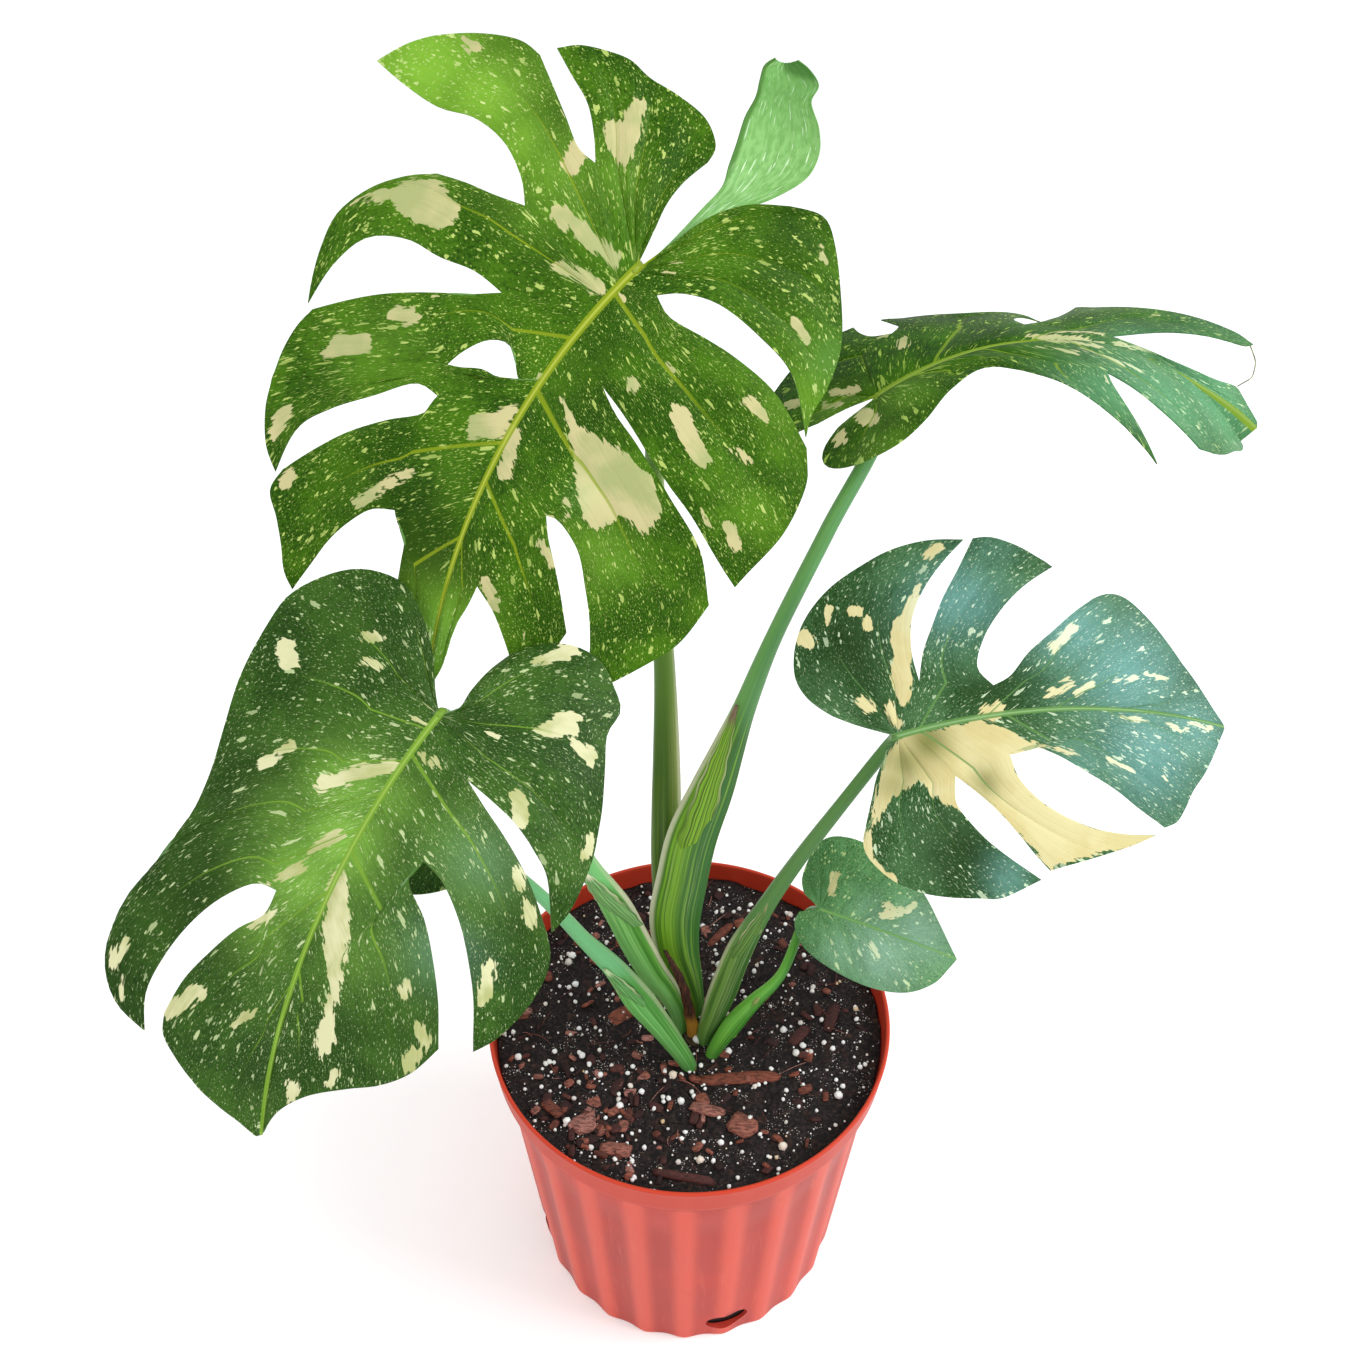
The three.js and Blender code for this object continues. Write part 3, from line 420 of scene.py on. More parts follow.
potPiece = addPiece("pot_fluted", potMesh(), [plasticFinish()], ["pot"])
cutters = []
for number in range(pot["holes"]):
    turn = circle(pot["holeSides"])[0]
    side = np.sign(np.cos(turn)) * np.abs(np.cos(turn)) ** 0.9 * pot["holeWidth"] / 2
    rise = np.sin(turn) * pot["holeHeight"] / 2 + pot["holeSlant"] * side + pot["holeCentre"]
    angle = rad(pot["firstHole"] + 360 / pot["holes"] * number)
    sine, cosine = np.sin(angle), np.cos(angle)
    rings = [rowsOf(out * cosine - side * sine, out * sine + side * cosine, rise)
             for out in (pot["baseRadius"] - pot["cutReach"], pot["baseRadius"] + pot["cutReach"])]
    points = np.vstack([*rings, *[[ring.mean(0)] for ring in rings]])
    cutter = newObject("hole", meshOf("hole", points, tubeFaces(2, pot["holeSides"])))
    cut = potPiece.modifiers.new("hole", "BOOLEAN")
    cut.operation = "DIFFERENCE"
    cut.solver = "EXACT"
    cut.object = cutter
    cutters.append(cutter)
settle(potPiece, 40)
for cutter in cutters:
    bpy.data.objects.remove(cutter)
print("pot done", len(potPiece.data.polygons))


# ---- potting mix ----
soil = dict(level=214, relief=1.4, clear=0.8, edge=9, grains=56, grainRadius=(1.3, 3), rings=96, segments=300,
            smallGrains=620, smallChips=9, looseChips=230, fibres=70)
# bark chips that can be told apart: x, y, length, width, degrees round, tone from dark to pale
chips = [[32, -41, 55, 9, 1, 0.55], [32, -74, 18, 15, -26, 0.75], [11, -63, 22, 8, -14, 0.85],
         [-44, 6, 18, 12, 30, 0.6], [-64, -73, 16, 13, 26, 0.9], [-44, -90, 20, 9, -11, 0.8],
         [-84, -62, 17, 8, -43, 0.5], [70, -10, 18, 8, 51, 0.3], [92, 4, 22, 8, 70, 0.25],
         [-3, -108, 38, 6, -9, 0.35], [22, 72, 28, 6, 49, 0.5]]
reach = float(innerRadius(soil["level"])) - soil["clear"]


def soilHeight(x, y):
    broad = np.sin(0.062 * x + 0.7) * np.cos(0.055 * y - 0.4)
    fine = np.sin(0.19 * x - 0.13 * y + 1.3) * np.sin(0.11 * x + 0.17 * y)
    return soil["level"] + soil["relief"] * (0.7 * broad + 0.5 * fine)


def crumbs(x, y):                                # loose crumbs over the soil's own swell
    return (0.9 * latticeNoise(x, y, 9, 11) + 0.9 * latticeNoise(x, y, 4.1, 12)
            + 0.7 * np.abs(latticeNoise(x, y, 2.2, 13)))


def numberSource(seed):                          # small repeatable numbers, 0 to 1, as in the solids
    state = seed
    while True:
        state = (state * 1664525 + 1013904223) % 4294967296
        yield state / 4294967296


def soilMesh():
    # side rings from the pot's floor up, then rings of the crumbly top closing on the middle
    z = np.array([[pot["floor"] + 0.8, 20, 60, 110, 158, 185, 205, 211.8]]).T
    spokes = circle(soil["segments"])
    r = innerRadius(z) - soil["clear"]
    side = rowsOf(r * np.cos(spokes), r * np.sin(spokes), z)
    r = reach * np.linspace(1, 0.004, soil["rings"])[:, None]
    x, y = r * np.cos(spokes), r * np.sin(spokes)
    ends = [[0, 0, pot["floor"] + 0.8], [0, 0, soilHeight(0, 0)]]
    points = np.vstack([side, rowsOf(x, y, soilHeight(x, y) + crumbs(x, y) - 0.4), ends])
    return meshOf("potting_mix_crumbs", points, tubeFaces(len(z) + soil["rings"], soil["segments"]))


def lumps(places, sizes, turns, tones, sides, bands, roughness, seed, box=0.0):
    # many small closed lumps in one mesh: a ball squared off by box, stretched to its size and turned
    def soft(w):
        return np.sign(w) * np.abs(w) ** (1 - box)

    u, v = np.meshgrid(circle(sides)[0], np.linspace(-np.pi / 2, np.pi / 2, bands + 2)[1:-1])
    ball = rowsOf(soft(np.cos(v)) * soft(np.cos(u)), soft(np.cos(v)) * soft(np.sin(u)), soft(np.sin(v)))
    ball = np.vstack([ball, [[0, 0, -1], [0, 0, 1]]])
    rng = np.random.default_rng(seed)
    rough = 1 + roughness * rng.uniform(-1, 1, (len(places), len(ball), 1))
    points = ball[None] * rough * np.asarray(sizes)[:, None, :]
    a, b, c = rad(np.asarray(turns, float)).T[:, :, None]
    x, y, z = points[..., 0], points[..., 1], points[..., 2]
    y, z = y * np.cos(a) - z * np.sin(a), y * np.sin(a) + z * np.cos(a)
    x, z = x * np.cos(b) + z * np.sin(b), -x * np.sin(b) + z * np.cos(b)
    x, y = x * np.cos(c) - y * np.sin(c), x * np.sin(c) + y * np.cos(c)
    points = np.stack([x, y, z], -1) + np.asarray(places)[:, None, :]
    faces = [face + k * len(ball) for k in range(len(places)) for face in tubeFaces(bands, sides)]
    return points.reshape(-1, 3), faces, np.repeat(tones, len(ball))


def spreadOver(rng, count, edge, power=0.5):     # even random places on the soil
    angle = rng.uniform(0, 2 * np.pi, count)
    r = (reach - edge) * rng.uniform(0, 1, count) ** power
    return r * np.cos(angle), r * np.sin(angle)


draws = numberSource(3359)


def between(a, b):
    return a + (b - a) * next(draws)


def drawnSpot():
    angle = between(0, 2 * np.pi)
    r = (reach - soil["edge"]) * np.sqrt(next(draws))
    return r * np.cos(angle), r * np.sin(angle)


grainPlaces, grainSizes, grainTurns = [], [], []
for number in range(soil["grains"]):
    x, y = drawnSpot()
    size = between(*soil["grainRadius"])
    grainTurns.append([between(0, 90), between(0, 90), 0])
    grainPlaces.append([x, y, soilHeight(x, y) + size * 0.25])
    grainSizes.append([size, size * 0.95, size * 0.9])
chipPlaces, chipSizes, chipTurns, chipTones = [], [], [], []


def placeChip(x, y, length, width, turn, tone):
    chipTurns.append([between(-9, 9), between(-5, 5), turn])
    chipPlaces.append([x, y, soilHeight(x, y) + between(0, 0.9)])
    chipSizes.append([length / 2, width / 2, 1.7])
    chipTones.append(tone)


for row in chips:
    placeChip(*row)
for number in range(soil["smallChips"]):
    x, y = drawnSpot()
    placeChip(x, y, between(8, 13), between(4, 7), between(0, 180), 0.25 + 0.06 * number)

rng = np.random.default_rng(41)
x, y = spreadOver(rng, soil["smallGrains"], 2, 0.52)
size = 0.55 + 1.35 * rng.uniform(0, 1, len(x)) ** 2.2
lift = soilHeight(x, y) + np.maximum(crumbs(x, y) - 0.4, -0.2) + size * rng.uniform(0.1, 0.6, len(x))
grainPlaces += rowsOf(x, y, lift).tolist()
grainSizes += (size[:, None] * rng.uniform(0.8, 1.1, (len(x), 3))).tolist()
grainTurns += rng.uniform(0, 180, (len(x), 3)).tolist()
grainTones = rng.uniform(0, 1, len(grainPlaces))

x, y = spreadOver(rng, soil["looseChips"], 5)
front = rng.uniform(0, 1, len(x)) < 0.3          # more bark lies at the front left
x[front], y[front] = rng.normal(-52, 26, front.sum()), rng.normal(-66, 20, front.sum())
inside = np.hypot(x, y) < reach - 7
x, y = x[inside], y[inside]
length = rng.uniform(3.5, 10, len(x))
lift = soilHeight(x, y) + rng.uniform(-0.4, 1.3, len(x))
chipPlaces += rowsOf(x, y, lift).tolist()
width, height = length * rng.uniform(0.16, 0.4, len(x)), rng.uniform(0.6, 1.5, len(x))
chipSizes += rowsOf(length / 2, width, height).tolist()
turns = rng.normal(0, 15, len(x)), rng.normal(0, 12, len(x)), rng.uniform(0, 180, len(x))
chipTurns += rowsOf(*turns).tolist()
chipTones += (rng.uniform(0, 1, len(x)) ** 1.3).tolist()


def mixFinish():
    finish = Finish("dark_potting_mix", roughness=0.85, specular=0.25)
    place = finish.place()
    fine = finish.noise(place, 420, 4, 0.65)
    clumps = finish.noise(place, 120, 3, 0.6)
    finish.body = finish.mix(finish.smooth(fine, 0.4, 0.7), (14, 10, 10), (52, 40, 38))
    finish.coat(finish.smooth(clumps, 0.55, 0.75) * 0.6, (74, 46, 36))
    finish.coat(finish.smooth(finish.drawn(place, (150, 900, 500), 2, 0.6), 0.66, 0.74) * 0.6, (120, 92, 78))
    cells = finish.add("ShaderNodeTexVoronoi", None, {"Vector": place, "Scale": 640})
    specks = 1 - finish.smooth(cells, 0.16, 0.24)
    finish.coat(specks * finish.smooth(finish.noise(place, 90, 2), 0.5, 0.6), (205, 196, 190))
    return finish.dress(0.6 + 0.35 * fine, fine + clumps, 0.9, 0.0015)


def pieceFinish(name, roughness, stops, grain, low, high, share, stain, bump, depth):
    # loose pieces whose colour runs along the stops by each one's tone, stained where the grain is high
    finish = Finish(name, roughness=roughness, specular=0.3)
    texture = grain(finish)
    finish.body = finish.ramp(finish.attribute("tone"), stops)
    finish.coat(finish.smooth(texture, low, high) * share, stain)
    return finish.dress(None, texture, bump, depth)


def barkGrain(finish):
    return finish.drawn(finish.place(), (260, 900, 900), 4, 0.65)


def perliteGrit(finish):
    return finish.noise(finish.place(), 1400, 3, 0.6)


def barkFinish():
    stops = [(0, (38, 20, 20)), (0.35, (84, 44, 40)), (0.6, (142, 76, 56)), (0.8, (158, 98, 84)),
             (1, (176, 122, 112))]
    return pieceFinish("bark_chips", 0.75, stops, barkGrain, 0.42, 0.62, 0.7, (44, 26, 22), 0.8, 0.0008)


def perliteFinish():
    stops = [(0, (216, 206, 198)), (0.3, (240, 237, 233)), (0.85, (252, 250, 248)), (1, (214, 182, 140))]
    return pieceFinish("perlite", 0.8, stops, perliteGrit, 0.6, 0.8, 0.5, (150, 138, 128), 0.7, 0.0006)


addPiece("potting_mix_crumbs", soilMesh(), [mixFinish()], ["potting_mix"])
points, faces, tones = lumps(grainPlaces, grainSizes, grainTurns, grainTones, 7, 3, 0.13, 5)
mesh = meshOf("perlite_grains", points, faces, values={"tone": tones})
addPiece("perlite_grains", mesh, [perliteFinish()])
points, faces, tones = lumps(chipPlaces, chipSizes, chipTurns, chipTones, 9, 3, 0.12, 6, box=0.45)
mesh = meshOf("bark_chips", points, faces, values={"tone": tones})
addPiece("bark_chips", mesh, [barkFinish()])


def fibreMesh():
    # thin curved strands: a five-sided tube along a shallow random arc on the soil
    count, steps, sides = soil["fibres"], 9, 5
    x, y = spreadOver(rng, count, 14)
    turn = rng.uniform(0, 2 * np.pi, count)
    length, bend = rng.uniform(7, 24, count), rng.uniform(-1.4, 1.4, count)
    t = np.linspace(-0.5, 0.5, steps)[None]
    heading = turn[:, None] + bend[:, None] * t
    px = x[:, None] + np.cumsum(np.cos(heading), 1) * length[:, None] / steps
    py = y[:, None] + np.cumsum(np.sin(heading), 1) * length[:, None] / steps
    pz = soilHeight(px, py) + 0.9 + 1.4 * (1 - (2 * t) ** 2) * rng.uniform(0, 1, (count, 1))
    thick = rng.uniform(0.16, 0.34, (count, 1)) * (1 - 0.7 * (2 * t) ** 4)
    a = circle(sides)[..., None]
    across = np.stack([-np.sin(heading), np.cos(heading), 0 * heading], -1)[:, :, None]
    centre = np.stack([px, py, pz], -1)[:, :, None]
    points = centre + thick[..., None, None] * (across * np.cos(a) + np.array([0, 0, 1]) * np.sin(a))
    faces = []
    for start in range(0, count * steps * sides, steps * sides):
        ends = np.arange(sides)[::-1] + start, np.arange((steps - 1) * sides, steps * sides) + start
        faces += [*gridFaces(steps, sides, start, closed=True), *ends]
    tones = np.repeat(rng.uniform(0.1, 1, count), steps * sides)
    return meshOf("coir_fibres", points.reshape(-1, 3), faces, values={"tone": tones})


addPiece("coir_fibres", fibreMesh(), [barkFinish()])
print("potting mix done", len(grainPlaces), "grains", len(chipPlaces), "chips")

# ---- leaves ----
# Outlines lie flat: x runs from the stalk to the tip, y out from the midrib. Each lobe has its margin and
# its tip, and the slit after it has its root on the midrib (in stations), its fork, its near and far bank
# and the corner past it. A slit that is shut again before its corner is a hole, and tilt raises a lobe's
# first and last edge towards its end.
cutGrid = dict(stations=24, last=18, seamRows=2, bankRows=5, fan=4, lobe=5)
wholeGrid = dict(stations=10, last=6, seamRows=2, bankRows=4, fan=4, lobe=4)
leafA = dict(
    name="leaf_blade_largest", at=[-28, 90, 683], heading=-141, pitch=-27, roll=-46, length=236, scale=1.04,
    bend=30, sweep=38, lift=[5, 5], curl=[15, 15], grid=cutGrid,
    left=dict(notch=[[-20, 3], [-42, 6], [-60, 14], [-75, 28]], lobes=[
        dict(margin=[[-84, 42], [-80, 55], [-67, 73], [-50, 91], [-32, 101], [-18, 105]], tip=[-8, 111],
             root=1, fork=[1, 15], near=[[-9, 23], [-18, 38], [-22, 60], [-22, 85]], far=[[4, 26], [-2, 44],
             [-7, 62], [-10, 86]], corner=[-5, 115]),
        dict(margin=[[4, 125], [22, 131], [50, 135], [75, 134]], tip=[109, 129], root=4, fork=[52, 24],
             near=[[56, 37], [61, 49], [67, 61], [74, 76], [84, 96]], far=[[59, 36], [64, 49], [70, 61],
             [79, 77], [98, 103]], corner=[129, 119]),
        dict(margin=[[154, 115], [170, 109], [190, 95], [204, 82]], tip=[210, 74], tilt=[16, 16], root=11,
             fork=[121, 32], near=[[121, 39], [131, 52], [147, 61], [166, 69], [188, 74]], far=[[131, 37],
             [144, 45], [160, 53]], corner=[178, 60]),
        dict(margin=[[190, 56], [200, 47]], tip=[205, 39], root=15, fork=[167, 14], near=[[177, 24],
             [190, 32]], far=[[178, 12], [188, 9]], corner=[198, 7]),
        dict(margin=[[210, 6], [219, 3]]),
    ]),
    right=dict(notch=[[-17, 6], [-30, 11], [-45, 13], [-60, 12]], lobes=[
        dict(margin=[[-68, 15], [-73, 27], [-71, 43], [-67, 57], [-66, 69], [-60, 80], [-53, 89]],
             tip=[-45, 95], root=1, fork=[-20, 46], near=[[-29, 56], [-37, 68], [-41, 82]], far=[[-19, 56],
             [-25, 70], [-31, 84]], corner=[-37, 98]),
        dict(margin=[[-35, 110], [-25, 125], [-12, 137], [-1, 143]], tip=[12, 148], root=2, fork=[15, 54],
             near=[[8, 64], [3, 80], [4, 97], [10, 112], [12, 130]], far=[[20, 67], [24, 81]],
             corner=[28, 92]),
        dict(margin=[[36, 102], [47, 111], [60, 116], [72, 114], [83, 110]], tip=[91, 106], root=3,
             fork=[47, 37], near=[[47, 52], [51, 68], [53, 84], [61, 99], [75, 105]], far=[[57, 50], [66, 66],
             [76, 82]], corner=[92, 103]),
        dict(margin=[[100, 106], [110, 107]], tip=[120, 106], root=7, fork=[72, 9], near=[[65, 15], [62, 22],
             [66, 30], [75, 36]], far=[[76, 17], [77, 25], [81, 33]], shut=[83, 39], corner=[120, 106]),
        dict(margin=[[130, 104], [142, 98]], tip=[150, 90], root=8, fork=[96, 36], near=[[96, 47], [108, 61],
             [120, 76], [132, 87]], far=[[105, 38], [114, 51], [125, 65], [136, 76]], corner=[148, 87]),
        dict(margin=[[157, 90], [166, 84], [176, 79], [185, 76]], tip=[193, 71], root=13, fork=[147, 33],
             near=[[150, 43], [158, 51], [168, 58], [180, 64]], far=[[156, 25], [168, 23]], corner=[182, 22]),
        dict(margin=[[198, 16], [213, 8]]),
    ]))
# edge points on the left and the right, and the height above the blade
turnedLobe = dict(columns=4, hollow=4, rows=[
    [[4, 2], [0, 6], 0], [[-10, 2], [-15, 8], -1], [[-26, 2], [-35, 11], -4], [[-46, 1], [-59, 14], -8],
    [[-62, 0], [-78, 21], -10], [[-72, -5], [-97, 25], -11], [[-82, -10], [-110, 21], -10],
    [[-93, -16], [-118, 12], -8], [[-102, -19], [-122, 1], -4], [[-107, -23], [-128, -2], 1],
    [[-112, -26], [-128, -10], 4], [[-118, -25], [-126, -17], 5],
])
leafB = dict(
    name="leaf_blade_low_left", at=[-119, -55, 530], heading=-126, pitch=-20, roll=-20, length=213,
    scale=0.94, bend=38, sweep=22, lift=[1, 5], curl=[18, 15], grid=cutGrid,
    left=dict(notch=[[-8, 6], [-20, 5], [-34, 5], [-48, 7]], lobes=[
        dict(margin=[[-58, 12], [-68, 22], [-74, 35], [-74, 48], [-68, 59], [-59, 70], [-44, 72], [-28, 82],
             [-8, 94], [12, 102], [34, 106], [52, 107]], tip=[68, 104], tilt=[-8, -8], root=1, fork=[20, 31],
             near=[[22, 47], [25, 62], [32, 77], [42, 90]], far=[[27, 45], [34, 60], [43, 75], [54, 88]],
             corner=[70, 102]),
        dict(margin=[[82, 109], [99, 111], [121, 108], [142, 100]], tip=[154, 91], tilt=[-6, -6], root=5,
             fork=[67, 34], near=[[72, 47], [86, 62], [104, 74], [126, 84]], far=[[79, 32], [93, 47],
             [111, 59], [132, 69]], corner=[156, 76]),
        dict(margin=[[173, 67], [184, 54], [191, 38], [200, 20], [212, 7]]),
    ]),
    right=dict(notch=[[-9, 9], [-25, 23], [-37, 38]], lobes=[
        dict(margin=[[-46, 55], [-45, 70], [-38, 84], [-24, 96], [-8, 103], [10, 101], [34, 95], [57, 86],
             [76, 80], [95, 79], [116, 84], [138, 91], [154, 97], [170, 95], [184, 85]], tip=[192, 68],
             root=8, fork=[110, 24], near=[[111, 35], [123, 48], [138, 58], [156, 66], [175, 71]],
             far=[[122, 25], [133, 35], [147, 44], [163, 53]], corner=[181, 59]),
        dict(margin=[[190, 57], [198, 50], [209, 37], [216, 22], [221, 9]]),
    ]))
leafC = dict(
    name="leaf_blade_mid_right", at=[104, -20, 484], heading=3, pitch=20, roll=38, length=172, scale=1,
    bend=35, sweep=-25, lift=[5, 5], curl=[15, 15], grid=cutGrid,
    left=dict(notch=[[-9, 5], [-20, 12], [-29, 19]], lobes=[
        dict(margin=[[-38, 30], [-42, 42], [-40, 54], [-34, 66], [-25, 76], [-12, 85], [3, 91], [18, 96],
             [34, 97]], tip=[50, 94], root=1, fork=[17, 24], near=[[17, 40], [21, 57], [29, 71], [39, 83]],
             far=[[22, 38], [29, 51], [36, 64], [45, 78]], corner=[54, 94]),
        dict(margin=[[62, 93], [72, 87], [80, 80]], tip=[86, 75], root=4, fork=[51, 15], near=[[45, 25],
             [50, 39], [60, 53], [72, 65]], far=[[60, 19], [70, 30], [82, 40], [93, 50]], corner=[103, 58]),
        dict(margin=[[110, 61], [118, 60], [128, 52], [141, 38], [153, 24], [163, 11]]),
    ]),
    right=dict(notch=[[-7, 4], [-9, 12], [-14, 24]], lobes=[
        dict(margin=[[-23, 37], [-31, 45], [-32, 53], [-28, 62], [-22, 70], [-12, 78], [1, 84], [19, 88],
             [35, 90]], tip=[60, 84], root=1, fork=[23, 27], near=[[20, 40], [25, 51], [33, 62], [45, 73]],
             far=[[34, 39], [43, 50], [51, 61], [58, 71]], corner=[66, 80]),
        dict(margin=[[84, 77], [102, 73], [119, 68]], tip=[133, 62], root=4, fork=[53, 21], near=[[56, 34],
             [66, 46], [80, 55], [97, 61], [115, 63]], far=[[64, 18], [77, 23], [92, 32], [108, 41],
             [122, 50]], corner=[138, 58]),
        dict(margin=[[146, 54], [151, 46], [155, 37], [162, 26], [168, 12]]),
    ]))
leafD = dict(
    name="leaf_blade_high_right", at=[96, 110, 606], heading=14, pitch=32, roll=-3, length=224, scale=1,
    bend=80, sweep=-20, lift=[[9, -12, 6], [0, 4, -10]], curl=[20, 20], grid=cutGrid,
    left=dict(notch=[[-16, 4], [-34, 7]], lobes=[
        dict(margin=[[-56, 18], [-62, 34], [-50, 50], [-30, 62], [-10, 68]], tip=[10, 69], root=1,
             fork=[24, 44], near=[[15, 49], [11, 58]], far=[[29, 50], [27, 58]], corner=[24, 67]),
        dict(margin=[[44, 62], [68, 55], [90, 57]], tip=[112, 66], root=6, fork=[88, 24], near=[[86, 36],
             [92, 48], [101, 58]], far=[[100, 30], [112, 44], [121, 56]], corner=[128, 68]),
        dict(margin=[[146, 62], [166, 57], [187, 52]], tip=[205, 42], tilt=[9, 31], root=12, fork=[131, 13],
             near=[[148, 22], [166, 30], [184, 35], [199, 35]], far=[[146, 10], [160, 7], [176, 5], [192, 6]],
             corner=[207, 20]),
        dict(margin=[[213, 12], [219, 6]], tilt=[8, 0]),
    ]),
    right=dict(notch=[[-14, 3], [-26, 6]], lobes=[
        dict(margin=[[-38, 14], [-42, 24], [-36, 34], [-22, 42], [-4, 45], [14, 40], [34, 27], [56, 19],
             [78, 37], [100, 66]], tip=[127, 102], root=8, fork=[114, 38], near=[[114, 50], [117, 65],
             [122, 83]], far=[[126, 46], [142, 57], [157, 64]], corner=[170, 68]),
        dict(margin=[[184, 62], [198, 50], [210, 34], [221, 18]]),
    ]))
leafE = dict(
    name="leaf_blade_small_right", at=[80, 20, 302], heading=-14, pitch=-12, roll=22, length=90, scale=1,
    bend=10, sweep=0, lift=[5, 5], curl=[15, 15], grid=wholeGrid,
    left=dict(notch=[[-6, 3], [-12, 6]], lobes=[
        dict(margin=[[-16, 15], [-15, 30], [-10, 43], [0, 49], [16, 50], [38, 44], [58, 33], [74, 17],
             [84, 6]]),
    ]),
    right=dict(notch=[[-6, 3], [-12, 6]], lobes=[
        dict(margin=[[-13, 14], [-6, 25], [8, 32], [28, 36], [47, 36], [65, 31], [79, 20], [86, 8]]),
    ]))
smallHalf = dict(notch=[[-6, 3], [-12, 7]], lobes=[
    dict(margin=[[-16, 16], [-14, 27], [-5, 35], [12, 38], [32, 34], [50, 24], [64, 11]]),
])
leafG = dict(
    name="leaf_blade_small_left", at=[-122, -47, 440], heading=-168, pitch=-14, roll=-16, length=56,
    scale=0.76, bend=16, sweep=0, lift=[5, 5], curl=[15, 15], grid=wholeGrid,
    left=smallHalf, right=smallHalf)
blade = dict(thickness=0.72, fine=5, midribDepth=1.5, midribHalf=3.2, lateralDepth=0.8, lateralHalf=0.05,
             quilt=0.5, ripple=1.3)


def placeOnLeaf(leaf, x, y, height):
    # the flat leaf is swept sideways, curled about its midrib, bent along it, turned and moved to its stalk
    turn = rad(leaf["sweep"]) / leaf["length"] or 1e-9
    past = np.maximum(x, 0)
    u = np.where(x > 0, np.sin(turn * past) / turn - np.sin(turn * past) * y, x)
    v = np.where(x > 0, (1 - np.cos(turn * past)) / turn + np.cos(turn * past) * y, y)
    out = np.abs(v)
    t = np.clip(x / leaf["length"], 0, 1)
    lifts = [np.interp(t, np.linspace(0, 1, np.size(lift)), np.atleast_1d(lift)) for lift in leaf["lift"]]
    left = y >= 0
    rise = rad(np.where(left, *lifts))
    curl = rad(np.where(left, *leaf["curl"])) / 100
    across = np.sign(v) * (np.sin(rise) - np.sin(rise - curl * out)) / curl
    sag = (np.cos(rise - curl * out) - np.cos(rise)) / curl + height
    droop = rad(leaf["bend"]) / leaf["length"]
    angle = droop * np.maximum(u, 0)
    point = np.stack([np.sin(angle) / droop + np.minimum(u, 0) + np.sin(angle) * sag, across,
                      -(1 - np.cos(angle)) / droop + np.cos(angle) * sag], -1)
    return point @ leafTurn(leaf).T + np.array(leaf["at"])


def leafTurn(leaf):                              # roll, then pitch, then heading
    r, p, h = rad([leaf["roll"], -leaf["pitch"], leaf["heading"]])
    roll = np.array([[1, 0, 0], [0, np.cos(r), -np.sin(r)], [0, np.sin(r), np.cos(r)]])
    pitch = np.array([[np.cos(p), 0, np.sin(p)], [0, 1, 0], [-np.sin(p), 0, np.cos(p)]])
    heading = np.array([[np.cos(h), -np.sin(h), 0], [np.sin(h), np.cos(h), 0], [0, 0, 1]])
    return heading @ pitch @ roll


def evenPoints(corners, count):                  # evenly spaced along a smooth curve through the corners
    last = len(corners) - 1
    curve = smoothCurve(np.array(corners, float), np.linspace(0, last, 80 * last + 1))
    run = np.append(0, np.cumsum(np.hypot(*np.diff(curve, axis=0).T)))
    steps = np.linspace(0, run[-1], count + 1)
    return rowsOf(*(np.interp(steps, run, column) for column in curve.T))


def slitEdge(grid, slit, bank, corner, rootX):
    seam = np.linspace([rootX, 0], slit["fork"], grid["seamRows"] + 1)
    holeRows = grid["bankRows"] * 3 // 5 if "shut" in slit else grid["bankRows"]
    opening = evenPoints([slit["fork"], *bank, slit.get("shut", corner)], holeRows)[1:]
    runs = [seam, opening]
    if "shut" in slit:
        runs.append(np.linspace(slit["shut"], corner, grid["bankRows"] - holeRows + 1)[1:])
    return np.vstack(runs)


